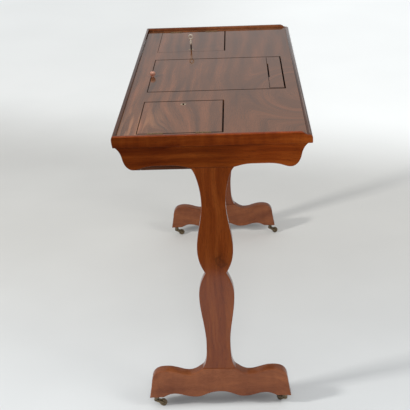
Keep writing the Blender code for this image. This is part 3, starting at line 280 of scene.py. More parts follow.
# Dirt and painted shade of the top: half breadths of the joint lines, and the painted shade in the keyholes
# and the finger slot
LINE_ALONG = 0.0050
LINE_ACROSS = 0.0024
TIGHT_LINE = 0.0008
FAINT_LINE = 0.0013
JOINT_LINE_DEPTH = 0.0040
KEYHOLE_DARK = (0.0040, 0.0052)  # from the keyhole's middle, where the dark thins out
KEYHOLE_DARK_SQUASH = 0.6
FINGER_SLOT = (-0.055, 0.092)
FINGER_SLOT_HALF = 0.0014
FINGER_SLOT_BLUR = 0.0008
FINGER_SLOT_END_BLUR = 0.004
# Boards with a joint round them, and the half breadth of its line of dirt and painted shade at the right, the
# left, the back and the front
JOINTS = (
    ("left_lid", LINE_ALONG, LINE_ALONG, LINE_ACROSS, LINE_ACROSS),
    ("right_lid", LINE_ALONG, TIGHT_LINE, FAINT_LINE, LINE_ACROSS),
    ("reading_panel", LINE_ALONG, LINE_ALONG, LINE_ACROSS, LINE_ACROSS),
    ("book_ledge", TIGHT_LINE, LINE_ALONG, TIGHT_LINE, LINE_ACROSS),
    ("top_board", LINE_ALONG, LINE_ALONG, TIGHT_LINE, TIGHT_LINE),
)

# Old metal
# Colour of the painted shade on the key's shank near the lid
SHANK_SHADE_COLOUR = (0.020, 0.014, 0.010)
KEY_SHANK_SHADE = (0.762, 0.754)  # heights between which painted shade darkens the key's shank towards the lid
PATCH_SCALE = 160.0
SPECK_SCALE = 900.0
SCRATCH_SCALE = (500.0, 3000.0, 1500.0)
TARNISH_SPECKS = 0.25  # how much the specks add to the patches
TARNISH_EDGE = (0.50, 0.80)  # values of both together between which tarnish begins
TARNISH_DULLING = 0.3
METAL_RELIEF = 0.00008

# Camera
CAMERA_PLACE = Vector((-2.8957, -0.0669, 1.5275))
CAMERA_YAW = math.radians(-2.181)
CAMERA_PITCH = math.radians(22.33)
CAMERA_ROLL = math.radians(-2.288)
CAMERA_LENS = 91.65

# Paper floor
FLOOR_FRONT = -1.36
FLOOR_BACK = 8.0
FLOOR_SIDE = 5.0
NEAR_PAPER = (0.697, 0.724, 0.734)
FAR_PAPER = (0.690, 0.690, 0.664)
PAPER_TURN = (-0.7, 0.7)  # along the table, where the near paper gives way to the far one
PAPER_MOTTLE = 0.96  # shade of the darker patches
PAPER_MOTTLE_SCALE = 2.0
# A foot, how far beyond its right face the shade's middle line lies, and how deep the shade is
CONTACT_SHADES = (("left_foot", 0.008, 0.66), ("right_foot", 0.042, 0.56))
SHADE_SLANT = 0.05
SHADE_REACH = 0.050
SHADE_ENDS = (0.11, 0.20)  # from the foot's middle, where the shade thins out
SHADE_COLOUR = (0.15, 0.15, 0.155)
# Glow of the floor: places along or across the stage, and strengths
FLOOR_GLOW_COLOUR = (0.93, 0.975, 1.0)
BACK_GLOW_START = (1.075, 2.125)
BACK_GLOW_SLANT = -0.35
BACK_GLOW_SIDES = (0.6, -0.6, 0.31, 0.46)
MIDDLE_GLOW_START = (-0.2, 1.2)
MIDDLE_GLOW = 0.03
FAR_GLOW = (2.0, 5.0, 0.0, 0.06)

# Studio: two values of a direction's rise, or of its way along the table, and the levels of light there
STUDIO_COLOUR = (0.97, 0.98, 1.0)
FILL_LEVEL = 0.60
BACKDROP = (0.15, 0.40, 0.46, 0.37)
HORIZON = (0.02, 0.17, 0.50, 0.0)
CEILING = (0.30, 0.75, 0.02, 0.80)
ROOM_TO_BACKDROP = (-0.25, 0.45)

# Lamps: name, place, power in watts and breadth
LAMPS = (
    ("left_light", (-1.6, 3.1, 2.25), 86.0, 0.45),
    ("right_light", (-1.8, -2.6, 2.4), 30.0, 1.2),
    ("front_light", (-2.9, -0.1, 1.75), 22.0, 0.7),
)
LAMP_COLOUR = (1.0, 0.98, 0.95)
LAMP_AIM = Vector((0.0, 0.0, 0.4))


def sweep(start, leave, arrive, end, count=CURVE_POINTS):
    """Cubic Bezier curve from its start up to, but without, its end. Its pulls lie at start + leave and at
    end + arrive, and the four corners are weighted by the cubes of t and 1 - t and their mixed products."""
    t = np.linspace(0.0, 1.0, count, endpoint=False)[:, None]
    start, leave, arrive, end = (np.asarray(corner, float) for corner in (start, leave, arrive, end))
    first = (1 - t) ** 3 * start + 3 * t * (1 - t) ** 2 * (start + leave)
    return first + 3 * t * t * (1 - t) * (end + arrive) + t**3 * end


def outline_of(*stretches):
    """Stretches of curve and single points, one after another, as one array of points."""
    return np.vstack([np.atleast_2d(np.asarray(stretch, float)) for stretch in stretches])


def both_halves(half, shift):
    """A closed outline from its right half, listed from top to bottom, moved sideways by shift."""
    other = half[::-1] * (-1, 1)
    return np.vstack((half, other[other[:, 0] < 0])) + (shift, 0)


def draw_in(outline):
    """Inward step of each point of a closed outline, and a share for its ease. The step is the sum of the
    two neighbouring edges' normals, lengthened at a corner so that both edges move by the same distance. The
    share falls from one towards nothing within SHARP_REACH of a point where the outline turns sharply."""
    along = np.roll(outline, -1, 0) - outline
    length = np.linalg.norm(along, axis=1)
    along /= length[:, None]
    before = np.roll(along, 1, 0)
    y, z = outline.T
    winding = np.sign(np.sum(y * np.roll(z, -1) - np.roll(y, -1) * z))
    normal = winding * np.stack((-along[:, 1], along[:, 0]), 1)
    both = normal + np.roll(normal, 1, 0)
    both /= np.linalg.norm(both, axis=1, keepdims=True)
    reach = np.clip(np.sum(both * normal, 1, keepdims=True), LEAST_CORNER_REACH, 1.0)
    sharp = np.sum(before * along, 1) < math.cos(SHARP_TURN)
    travelled = np.cumsum(length) - length
    gap = np.abs(travelled[:, None] - travelled[sharp][None])
    gap = np.minimum(gap, length.sum() - gap).min(axis=1, initial=1.0)
    return both / reach, np.clip(gap / SHARP_REACH, LEAST_EASE_SHARE, 1.0)


def ring_faces(rows, columns, wrap):
    """Four-sided faces between rows of points that close round, and wrap from the last row to the first."""
    row = np.arange(rows if wrap else rows - 1)[:, None]
    column = np.arange(columns)[None]
    after = (column + 1) % columns
    below = (row + 1) % rows
    row, below = row * columns, below * columns
    corners = (row + column, row + after, below + after, below + column)
    return np.stack(np.broadcast_arrays(*corners), -1).reshape(-1, 4).tolist()


def ringed(points, wrap=False):
    """A closed surface through rows of points, with a flat face on the first and last row unless it wraps."""
    rows, columns = points.shape[:2]
    faces = ring_faces(rows, columns, wrap)
    if not wrap:
        faces.append(list(range(columns))[::-1])
        faces.append(list(range((rows - 1) * columns, rows * columns)))
    return points.reshape(-1, 3), faces


def board(outline, low, high, ease):
    """An outline in (y, z) carried along X from low to high. Near each face the outline draws in by
    ease * (1 - sin a) while it goes ease * (1 - cos a) into the wood, which rounds the edge by a quarter
    circle. The ease is one value or one for each point of the outline."""
    step, share = draw_in(outline)
    angle = np.linspace(0.0, np.pi / 2, EASE_STEPS + 1)[:, None]
    inset = np.vstack(((ease + FACE_RIM) * share, ease * share * (1 - np.sin(angle))))
    depth = np.vstack((0.0 * share, ease * share * (1 - np.cos(angle))))
    inset = np.vstack((inset, inset[::-1]))
    points = np.empty((*inset.shape, 3))
    points[..., 0] = np.vstack((low + depth, (high - depth)[::-1]))
    points[..., 1:] = outline[None] + step[None] * inset[..., None]
    return ringed(points)


def turned(profile, steps=TURN_STEPS, wrap=False):
    """A profile of (radius, height) turned about Z: each point goes round at (r cos a, r sin a, h)."""
    profile = np.asarray(profile, float)
    angle = np.linspace(0.0, 2 * np.pi, steps, endpoint=False)
    points = np.empty((len(profile), steps, 3))
    points[..., 0] = profile[:, :1] * np.cos(angle)
    points[..., 1] = profile[:, :1] * np.sin(angle)
    points[..., 2] = profile[:, 1:]
    return ringed(points, wrap)


def oval_bar(reach, bar, centre):
    """A round bar bent to an oval in the (y, z) plane: centre + (reach + bar cos b) (cos a, sin a), and
    bar sin b across it, with the bar a little stouter at the oval's upper and lower ends."""
    angle = np.linspace(0.0, 2 * np.pi, TURN_STEPS, endpoint=False)[:, None]
    turn = np.linspace(0.0, 2 * np.pi, BOW_BAR_STEPS, endpoint=False)[None]
    stout = bar * (KEY_BOW_THIN + (1 - KEY_BOW_THIN) * np.sin(angle) ** 2)
    points = np.empty((TURN_STEPS, BOW_BAR_STEPS, 3))
    points[..., 0] = centre[0] + stout * np.sin(turn)
    points[..., 1] = centre[1] + (reach[0] + stout * np.cos(turn)) * np.cos(angle)
    points[..., 2] = centre[2] + (reach[1] + stout * np.cos(turn)) * np.sin(angle)
    return ringed(points, wrap=True)


def placed(surface, matrix):
    """A surface with its points moved by a matrix."""
    points, faces = surface
    turn = np.array(matrix)
    return points @ turn[:3, :3].T + turn[:3, 3], faces


def add_object(name, data):
    """A new object of the scene, at the origin."""
    made = bpy.data.objects.new(name, data)
    bpy.context.scene.collection.objects.link(made)
    return made


def dress(piece, node, body):
    """A piece rides on a body and takes a CAD node's place."""
    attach(piece, body)
    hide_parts(node)


def finish_mesh(mesh, finish):
    """Faces that point outwards, in one finish, smooth wherever they turn by little."""
    bm = bmesh.new()
    bm.from_mesh(mesh)
    bmesh.ops.recalc_face_normals(bm, faces=bm.faces[:])
    bm.to_mesh(mesh)
    bm.free()
    mesh.materials.append(finish)
    mesh.shade_smooth()
    mesh.set_sharp_from_angle(angle=SMOOTH_TURN)


def add_piece(node, ending, surfaces, finish, body):
    """One piece of closed surfaces, named for the CAD node that it replaces and for what it is made of."""
    points = []
    faces = []
    for some_points, some_faces in surfaces:
        start = len(points)
        points += some_points.tolist()
        faces += [[corner + start for corner in face] for face in some_faces]
    mesh = bpy.data.meshes.new(f"{node}_{ending}")
    mesh.from_pydata(points, [], faces)
    finish_mesh(mesh, finish)
    dress(add_object(f"{node}_{ending}", mesh), node, body)


def add_eased(node, finish, body, width=BOARD_EASE):
    """A copy of a solid, with its corner points merged and its flat faces whole, that a Bevel eases."""
    bm = bmesh.new()
    bm.from_mesh(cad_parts[node].data)
    bmesh.ops.remove_doubles(bm, verts=bm.verts[:], dist=MERGE_DISTANCE)
    bmesh.ops.dissolve_limit(bm, angle_limit=FLAT_TURN, verts=bm.verts[:], edges=bm.edges[:])
    mesh = bpy.data.meshes.new(f"{node}_eased")
    bm.to_mesh(mesh)
    bm.free()
    mesh.materials.clear()
    mesh.materials.append(finish)
    mesh.shade_flat()
    piece = add_object(f"{node}_eased", mesh)
    bevel = piece.modifiers.new("eased_edges", "BEVEL")
    bevel.width = width
    bevel.segments = BEVEL_SEGMENTS
    bevel.limit_method = "ANGLE"
    bevel.angle_limit = SMOOTH_TURN
    dress(piece, node, body)


class NodeTree:
    """A tree of shader nodes, with short ways to add the nodes that a pattern needs."""

    def __init__(self, tree):
        self.tree = tree

    def node(self, kind, inputs=None, **settings):
        made = self.tree.nodes.new(kind)
        for name, value in settings.items():
            setattr(made, name, value)
        for name, value in (inputs or {}).items():
            self.feed(made.inputs[name], value)
        return made

    def feed(self, socket, value):
        """Links a socket to another one, or sets it to a plain value."""
        if isinstance(value, bpy.types.NodeSocket):
            self.tree.links.new(value, socket)
        elif isinstance(value, tuple) and len(value) == 3 and socket.type == "RGBA":
            socket.default_value = (*value, 1.0)
        else:
            socket.default_value = value

    def pair(self, kind, operation, first, second):
        """A node that works on two values."""
        made = self.node(kind, operation=operation)
        self.feed(made.inputs[0], first)
        self.feed(made.inputs[1], second)
        return made.outputs

    def sum(self, first, second):
        return self.pair("ShaderNodeMath", "ADD", first, second)[0]

    def times(self, first, second):
        return self.pair("ShaderNodeMath", "MULTIPLY", first, second)[0]

    def less(self, first, second):
        return self.pair("ShaderNodeMath", "SUBTRACT", first, second)[0]

    def larger(self, first, second):
        return self.pair("ShaderNodeMath", "MAXIMUM", first, second)[0]

    def smaller(self, first, second):
        return self.pair("ShaderNodeMath", "MINIMUM", first, second)[0]

    def size(self, value):
        """A value without its sign."""
        return self.pair("ShaderNodeMath", "ABSOLUTE", value, 0.0)[0]

    def away_from(self, value, middle):
        """How far a value lies from a plain number, on either side of it."""
        return self.size(self.sum(value, -middle))

    def centred(self, value):
        """A noise's value from -0.5 to 0.5, in place of 0 to 1."""
        return self.sum(value, -0.5)

    def spread(self, value, low, high, to_low=0.0, to_high=1.0, smooth=True):
        """A value's stretch from low to high, eased at both ends if smooth, turned into another stretch."""
        inputs = {"Value": value, "From Min": low, "From Max": high, "To Min": to_low, "To Max": to_high}
        kind = "SMOOTHSTEP" if smooth else "LINEAR"
        return self.node("ShaderNodeMapRange", inputs, interpolation_type=kind).outputs[0]

    def fall(self, value, near, far):
        """One up to near, and eased down to nothing at far."""
        return self.spread(value, near, far, 1.0, 0.0)

    def between(self, share, first, second):
        """A number between two, nearer to the second one as the share grows."""
        made = self.node("ShaderNodeMix", data_type="FLOAT")
        self.feed(made.inputs[0], share)
        self.feed(made.inputs[2], first)
        self.feed(made.inputs[3], second)
        return made.outputs[0]


class Finish(NodeTree):
    """A node material, with a pattern on Object coordinates."""

    def __init__(self, name):
        self.material = bpy.data.materials.new(name)
        self.material.use_nodes = True
        super().__init__(self.material.node_tree)
        self.shader = self.tree.nodes["Principled BSDF"]
        self.place = self.node("ShaderNodeTexCoord").outputs["Object"]

    def set(self, **values):
        """Links or sets the shader's own sockets, named with _ for a space."""
        for name, value in values.items():
            self.feed(self.shader.inputs[name.replace("_", " ")], value)

    def axes(self):
        """A point's places along X, Y and Z."""
        return self.node("ShaderNodeSeparateXYZ", {"Vector": self.place}).outputs

    def combined(self, **parts):
        """A point from its places along the axes."""
        return self.node("ShaderNodeCombineXYZ", parts).outputs[0]

    def scaled(self, place, scale, turn=(0.0, 0.0, 0.0)):
        return self.node("ShaderNodeMapping", {"Vector": place, "Scale": scale, "Rotation": turn}).outputs[0]

    def distance(self, place, centre):
        return self.pair("ShaderNodeVectorMath", "DISTANCE", place, centre)["Value"]

    def noise(self, place, scale=1.0, detail=2.0, roughness=0.5):
        inputs = {"Vector": place, "Scale": scale, "Detail": detail, "Roughness": roughness}
        return self.node("ShaderNodeTexNoise", inputs).outputs[0]

    def mix(self, share, first, second, blend="MIX"):
        """A colour between two, or the first one blended with the second."""
        made = self.node("ShaderNodeMix", data_type="RGBA", blend_type=blend)
        self.feed(made.inputs[0], share)
        self.feed(made.inputs[6], first)
        self.feed(made.inputs[7], second)
        return made.outputs[2]

    def ramp(self, value, *stops):
        """A colour ramp through (position, colour) stops."""
        made = self.node("ShaderNodeValToRGB", {"Fac": value})
        elements = made.color_ramp.elements
        while len(elements) < len(stops):
            elements.new(0.5)
        for element, (position, colour) in zip(elements, stops):
            element.position = position
            element.color = (*colour, 1.0)
        return made.outputs[0]

    def bump(self, height, distance):
        inputs = {"Height": height, "Distance": distance, "Strength": RELIEF_STRENGTH}
        self.set(Normal=self.node("ShaderNodeBump", inputs).outputs[0])


def grain_tones(finish, figure, tones):
    """Dark, middle and light tones that follow the figure from low to high."""
    return finish.ramp(figure, *zip(TONE_PLACES, tones))


def add_grain_detail(finish, colour, lined, gloss, dirt_and_shade=None):
    """Fine fibres, short dark pores along the grain and dirt, for colour, relief and roughness alike."""
    fibre = finish.noise(finish.scaled(lined, FIBRE_SCALE), detail=3.0, roughness=0.6)
    pores = finish.spread(finish.noise(finish.scaled(lined, PORE_SCALE), detail=1.0), *PORE_EDGE)
    colour = finish.mix(1.0, colour, finish.spread(fibre, *FIBRE_SHADES, smooth=False), "MULTIPLY")
    colour = finish.mix(finish.times(pores, PORE_WEIGHT), colour, PORE_COLOUR)
    # Dirt of the top, with painted shade in its joints, keyholes and finger slot
    if dirt_and_shade:
        colour = finish.mix(finish.times(dirt_and_shade, DIRT_AND_SHADE_WEIGHT), colour, DIRT_AND_SHADE_COLOUR)
    cloud = finish.noise(finish.place, DULL_CLOUD_SCALE, detail=3.0, roughness=0.55)
    roughness = finish.spread(cloud, 0.3, 0.7, *gloss)
    finish.set(Base_Color=colour, Roughness=finish.sum(roughness, finish.times(pores, PORE_ROUGHNESS)))
    finish.bump(finish.sum(finish.times(fibre, FIBRE_RELIEF), finish.times(pores, -1.0)), GRAIN_RELIEF)


def polish(finish, weight, coat_roughness, level):
    """A film of old polish over the wood."""
    finish.set(Coat_Weight=weight, Coat_Roughness=coat_roughness, Coat_IOR=POLISH_IOR)
    finish.set(Specular_IOR_Level=level)


def add_small_knot(finish, colour, along):
    """A knot in the left standard: dark rings about its middle, which waver and die out with distance."""
    across, height = SMALL_KNOT
    squashed = finish.scaled(finish.place, (0.0, 1.0, SMALL_KNOT_SQUASH))
    away = finish.distance(squashed, (0.0, across, height * SMALL_KNOT_SQUASH))
    waver = finish.centred(finish.noise(finish.place, SMALL_KNOT_WAVER_SCALE))
    reach = finish.sum(away, finish.times(waver, SMALL_KNOT_WAVER))
    rings = finish.noise(finish.combined(X=finish.times(reach, SMALL_KNOT_RING_SCALE)))
    near = finish.times(finish.fall(reach, *SMALL_KNOT_REACH), finish.spread(along, *LEFT_HALF))
    dark = finish.times(finish.spread(rings, *SMALL_KNOT_RING_EDGE), near)
    return finish.mix(finish.times(dark, SMALL_KNOT_WEIGHT), colour, SMALL_KNOT_COLOUR)


def mahogany(
    name, grain, tones, gloss, coat,
    ribbon=RIBBON_SCALE, curl=0.0, warped=0.045, fades=(), sheen_line=None, knotted=False,
):
    """Mahogany along one axis: warped ribbons of light and dark, cross-grain curl, cloudy colour and fine
    pores. Each fade names an axis and shades the wood between two places on it, some with painted light and
    shade. A sheen line along the table is painted pale as a highlight, and knotted wood has the small knot."""
    finish = Finish(name)
    lined = finish.scaled(finish.place, (1.0, 1.0, 1.0), GRAIN_TURNS[grain])
    warp = finish.noise(lined, WARP_SCALE)
    bend = finish.combined(Y=finish.times(warp, warped), Z=finish.times(warp, warped * WARP_RISE))
    bowed = finish.pair("ShaderNodeVectorMath", "ADD", lined, bend)[0]
    along, across = ribbon
    ribbons = finish.noise(finish.scaled(bowed, (along, across, across)), detail=4.0, roughness=0.55)
    curls = finish.noise(finish.scaled(bowed, CURL_SCALE))
    cloud = finish.noise(lined, CLOUD_SCALE)
    figure = finish.sum(ribbons, finish.times(finish.centred(curls), curl))
    figure = finish.sum(figure, finish.times(finish.centred(cloud), CLOUD_WEIGHT))
    colour = grain_tones(finish, figure, tones)
    axes = finish.axes()
    # Fades along an axis, some of them painted light and shade
    for axis, *fade in fades:
        colour = finish.mix(1.0, colour, finish.spread(axes[axis], *fade), "MULTIPLY")
    # Painted highlight along the front edge's crest, broken up by the cloud
    if sheen_line:
        pale_mark = finish.fall(finish.away_from(axes["Y"], sheen_line), *SHEEN_REACH)
        pale_mark = finish.times(pale_mark, finish.spread(cloud, *SHEEN_CLOUD))
        colour = finish.mix(finish.times(pale_mark, SHEEN_WEIGHT), colour, SHEEN_COLOUR)
    if knotted:
        colour = add_small_knot(finish, colour, axes["X"])
    add_grain_detail(finish, colour, bowed, gloss)
    polish(finish, *coat)
    return finish.material


def veneer_line(finish, along, across):
    """Where a point lies across the veneer's figure: its place across the table, slanted a little. Within a
    knot's radius this turns into the distance from the knot, which makes rings. It wavers by a broad noise,
    and in a band behind the middle it leans towards the reader on the way to the left end."""
    squeezed = finish.scaled(finish.place, (1 / KNOT_STRETCH, 1.0, 0.0))
    away = finish.distance(squeezed, (KNOT_CENTRE[0] / KNOT_STRETCH, KNOT_CENTRE[1], 0.0))
    warp = finish.centred(finish.noise(finish.scaled(finish.place, VENEER_WARP_SCALE)))
    straight = finish.sum(across, finish.times(along, GRAIN_SLANT))
    round_knot = finish.fall(away, KNOT_RADIUS * KNOT_CORE_SHARE, KNOT_RADIUS)
    turn = finish.times(finish.less(finish.times(away, KNOT_RING_TIGHTNESS), straight), round_knot)
    line = finish.sum(finish.sum(straight, turn), finish.times(warp, GRAIN_WARP))
    start, full, fading, ended = FLAME_BAND
    leaning = finish.times(finish.spread(across, ended, fading), finish.spread(across, start, full))
    leaning = finish.times(leaning, finish.smaller(finish.less(along, FLAME_START), 0.0))
    return finish.sum(line, finish.times(leaning, -FLAME_LEAN))


def veneer_top(name, tones):
    """Figured veneer, shared by the board, the lids, the panel and the ledge: ribbons, broad bands and a
    mottle that follow the veneer's lines. The figure is quieter by the reader, pale streaks are rubbed into
    the back left corner, and old dirt, with painted shade in the joints, keyholes and finger slot, darkens it
    and dulls the polish."""
    finish = Finish(name)
    along, across, height = finish.axes()
    lined = finish.combined(X=along, Y=veneer_line(finish, along, across))
    broad = finish.noise(finish.scaled(lined, BROAD_SCALE), detail=1.5, roughness=0.45)
    ribbons = finish.noise(finish.scaled(lined, FINE_SCALE), detail=3.0, roughness=0.6)
    mottle = finish.noise(finish.scaled(lined, MOTTLE_SCALE))
    figure = finish.sum(finish.times(broad, BROAD_WEIGHT), finish.times(ribbons, FINE_WEIGHT))
    figure = finish.sum(figure, finish.times(mottle, MOTTLE_WEIGHT))
    contrast = finish.spread(across, *QUIET_BAND)
    figure = finish.sum(finish.times(finish.centred(figure), contrast), 0.5)
    colour = grain_tones(finish, figure, tones)
    streaks = finish.noise(finish.scaled(lined, STREAK_SCALE), detail=1.0)
    pale_mark = finish.times(finish.spread(along, *RUBBED_ALONG), finish.spread(across, *RUBBED_ACROSS))
    pale_mark = finish.times(pale_mark, finish.spread(streaks, *STREAK_EDGE))
    colour = finish.mix(finish.times(pale_mark, RUBBED_WEIGHT), colour, RUBBED_COLOUR)
    # Dirt, and painted shade in the joints, keyholes and finger slot
    dirt_and_shade = dirt_and_painted_shade(finish, along, across, height)
    add_grain_detail(finish, colour, lined, VENEER_GLOSS, dirt_and_shade)
    polish(finish, finish.spread(dirt_and_shade, *POLISH_BY_DIRT_AND_SHADE), *VENEER_COAT)
    return finish.material


def dirt_and_painted_shade(finish, along, across, height):
    """Dirt and painted shade of the top: the joints' lines near its surface, and painted shade in the
    keyholes and the finger slot.
    """
    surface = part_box("top_board")[1].z
    upper = finish.spread(height, surface - JOINT_LINE_DEPTH, surface - JOINT_LINE_DEPTH / 3)
    lines = finish.times(joint_dirt_and_shade(finish, along, across), upper)
    marks = finish.larger(lines, keyhole_shade(finish))
    return finish.larger(marks, finger_slot_shade(finish, along, across))


def keyhole_shade(finish):
    """Painted shade inside the keyholes: nearness to the middle of either one."""
    marks = 0.0
    for side in SIDES:
        low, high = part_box(f"{side}_escutcheon")
        middle = (low + high) / 2
        squashed = finish.scaled(finish.place, (KEYHOLE_DARK_SQUASH, 1.0, 0.0))
        away = finish.distance(squashed, (middle.x * KEYHOLE_DARK_SQUASH, middle.y, 0.0))
        marks = finish.larger(marks, finish.fall(away, *KEYHOLE_DARK))
    return marks


def finger_slot_shade(finish, along, across):
    """Painted shade inside the finger slot at the ledge's back: near its middle line, and between its ends.
    """
    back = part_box("book_ledge")[1].y
    left, right = FINGER_SLOT
    aside = finish.away_from(across, back - FINGER_SLOT_HALF)
    inside = finish.fall(aside, FINGER_SLOT_HALF, FINGER_SLOT_HALF + FINGER_SLOT_BLUR)
    from_left = finish.spread(along, left, left + FINGER_SLOT_END_BLUR)
    from_right = finish.spread(along, right, right - FINGER_SLOT_END_BLUR)
    return finish.times(inside, finish.times(from_left, from_right))


def joint_dirt_and_shade(finish, along, across):
    """Old dirt, and painted shade of the gaps, beside the joints of the lids, the panel and the ledge.
    Distances from a rectangle's sides, in units of the line's half breadth, give the largest one as the
    signed distance from its outline, which is dark near 0."""
    marks = 0.0
    for node, right_line, left_line, back_line, front_line in JOINTS:
        low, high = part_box(node)
        right = finish.times(finish.sum(along, -high.x), 1 / right_line)
        left = finish.times(finish.sum(along, -low.x), -1 / left_line)
        back = finish.times(finish.sum(across, -high.y), 1 / back_line)
        front = finish.times(finish.sum(across, -low.y), -1 / front_line)
        outside = finish.larger(finish.larger(right, left), finish.larger(back, front))
        marks = finish.larger(marks, finish.fall(finish.size(outside), 0.0, 1.0))
    return marks


def old_metal(name, bright, tarnish, gloss, grime, shaded_below=None, metal=0.85):
    """Handled metal: a bright alloy under patches of tarnish, with fine scratches and dull hollows, and
    painted shade from one height down to another if so asked."""
    finish = Finish(name)
    patches = finish.noise(finish.place, PATCH_SCALE, detail=4.0, roughness=0.6)
    specks = finish.noise(finish.place, SPECK_SCALE, detail=3.0, roughness=0.6)
    scratch = finish.noise(finish.scaled(finish.place, SCRATCH_SCALE))
    mask = finish.spread(finish.sum(patches, finish.times(specks, TARNISH_SPECKS)), *TARNISH_EDGE)
    colour = finish.mix(finish.times(mask, grime), bright, tarnish)
    # Painted shade: the metal darker below a height
    if shaded_below:
        colour = finish.mix(finish.spread(finish.axes()["Z"], *shaded_below), colour, SHANK_SHADE_COLOUR)
    roughness = finish.spread(finish.sum(mask, finish.times(specks, 0.4)), 0.1, 1.1, *gloss)
    metallic = finish.spread(mask, 0.0, 1.0, metal, metal - TARNISH_DULLING)
    finish.set(Base_Color=colour, Roughness=roughness, Metallic=metallic)
    finish.bump(finish.sum(specks, finish.times(scratch, 0.4)), METAL_RELIEF)
    return finish.material


TOP_VENEER = veneer_top("figured_veneer", VENEER_TONES)
CROSS_EDGE = mahogany(
    "edge_mahogany_across", "Y", EDGE_TONES, EDGE_GLOSS, EDGE_COAT, curl=0.35, fades=(LIP_PAINTED_SHADING, CREST_PAINTED_HIGHLIGHT)
)
FAR_EDGE = mahogany("edge_mahogany_far", "Y", FAR_EDGE_TONES, EDGE_GLOSS, EDGE_COAT, curl=0.35)
BEARER_WOOD = mahogany("bearer_mahogany", "Y", EDGE_TONES, EDGE_GLOSS, EDGE_COAT, fades=(BEARER_PAINTED_SHADING,))
LONG_EDGE = mahogany(
    "edge_mahogany_along", "X", LONG_EDGE_TONES, EDGE_GLOSS, LONG_EDGE_COAT,
    curl=0.1, fades=(FAR_END_PAINTED_LIGHT,), sheen_line=SHEEN_LINE,
)
STANDARD_WOOD = mahogany(
    "standard_mahogany", "Z", LEG_TONES, LEG_GLOSS, LEG_COAT, curl=0.05, fades=(NECK_FADE,), knotted=True
)
FOOT_WOOD = mahogany(
    "foot_mahogany", "Y", FOOT_TONES, FOOT_GLOSS, FOOT_COAT, FOOT_RIBBON_SCALE, curl=0.2, warped=0.20
)
LONG_INNER = mahogany("inner_mahogany_along", "X", INNER_TONES, INNER_GLOSS, INNER_COAT)
CROSS_INNER = mahogany("inner_mahogany_across", "Y", INNER_TONES, INNER_GLOSS, INNER_COAT)
OLD_BRASS = old_metal(
    "old_brass", bright=(0.64, 0.53, 0.38), tarnish=(0.30, 0.21, 0.13),
    gloss=(0.30, 0.52), grime=0.70, metal=0.70,
)
HINGE_BRASS = old_metal(
    "hinge_brass", bright=(0.34, 0.24, 0.14), tarnish=(0.16, 0.105, 0.062), gloss=(0.40, 0.62), grime=0.85
)
LOCK_IRON = old_metal(
    "lock_iron", bright=(0.060, 0.055, 0.050), tarnish=(0.025, 0.017, 0.012), gloss=(0.45, 0.65), grime=0.90
)
KEY_BRASS = old_metal(
    "key_brass", bright=(0.90, 0.80, 0.67), tarnish=(0.44, 0.32, 0.22),
    gloss=(0.28, 0.46), grime=0.40, shaded_below=KEY_SHANK_SHADE, metal=0.86,
)
KNOB_COPPER = old_metal(
    "knob_copper", bright=(0.84, 0.45, 0.33), tarnish=(0.42, 0.17, 0.10), gloss=(0.28, 0.46), grime=0.40
)
DARK_BRONZE = old_metal(
    "dark_bronze", bright=(0.230, 0.172, 0.102), tarnish=(0.058, 0.043, 0.028), gloss=(0.30, 0.55), grime=0.85
)


def nosing_round(front, surface, underside):
    """The front edge in section, from the surface round to the underside."""
    start = (front + NOSING_RADIUS, surface)
    shoulder = (front, surface - NOSING_RADIUS)
    heel = (front, underside + LOWER_EDGE_RADIUS)
    toe = (front + LOWER_EDGE_RADIUS, underside)
    pull = ROUND_PULL * NOSING_RADIUS
    lower_pull = ROUND_PULL * LOWER_EDGE_RADIUS
    return outline_of(
        sweep(start, (-pull, 0.0), (0.0, pull), shoulder),
        shoulder,
        sweep(heel, (0.0, -lower_pull), (-lower_pull, 0.0), toe),
        toe,
    )


def back_round(back, underside, top):
    """The back's outer face in section: out from the underside to a fullest line, then in to the top."""
    foot = (back - BACK_FOOT_INSET, underside)
    full = (back, top - BACK_FULL_DROP)
    crest = (back - BACK_TOP_INSET, top)
    rise = full[1] - underside
    return outline_of(
        sweep(foot, (BACK_FOOT_INSET / 2, rise / 2), (0.0, -rise / 3), full),
        sweep(full, (0.0, BACK_FULL_DROP / 2), (BACK_TOP_INSET / 2, 0.0), crest),
        crest,
    )


def add_end_lips():
    """End lips: level along the end, then an ogee down to the nosing's round at the front."""
    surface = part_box("top_board")[1].z
    pull = LIP_DROP_LENGTH / 2
    for side in SIDES:
        low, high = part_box(f"{side}_end_lip")
        drop_end = (low.y + NOSING_RADIUS, surface)
        drop_start = (drop_end[0] + LIP_DROP_LENGTH, high.z)
        outline = outline_of(
            sweep(drop_start, (-pull, 0.0), (pull, 0.0), drop_end),
            nosing_round(low.y, surface, low.z),
            back_round(high.y, low.z, high.z),
        )
        ease = np.where(outline[:, 1] > (low.z + surface) / 2, LIP_EASE, LIP_FOOT_EASE)
        lip = board(outline, low.x, high.x, ease)
        wood = CROSS_EDGE if side == "left" else FAR_EDGE
        add_piece(f"{side}_end_lip", "wood", [lip], wood, "table")


def gallery_outline(low, high):
    """Back gallery rail in section: upright towards the top with a rounded corner, and full outside."""
    pull = ROUND_PULL * GALLERY_ROUND
    start = (low.y, high.z - GALLERY_ROUND)
    end = (low.y + GALLERY_ROUND, high.z)
    corner = sweep(start, (0.0, pull), (-pull, 0.0), end)
    return outline_of((low.y, low.z), corner, end, back_round(high.y, low.z, high.z)[::-1])


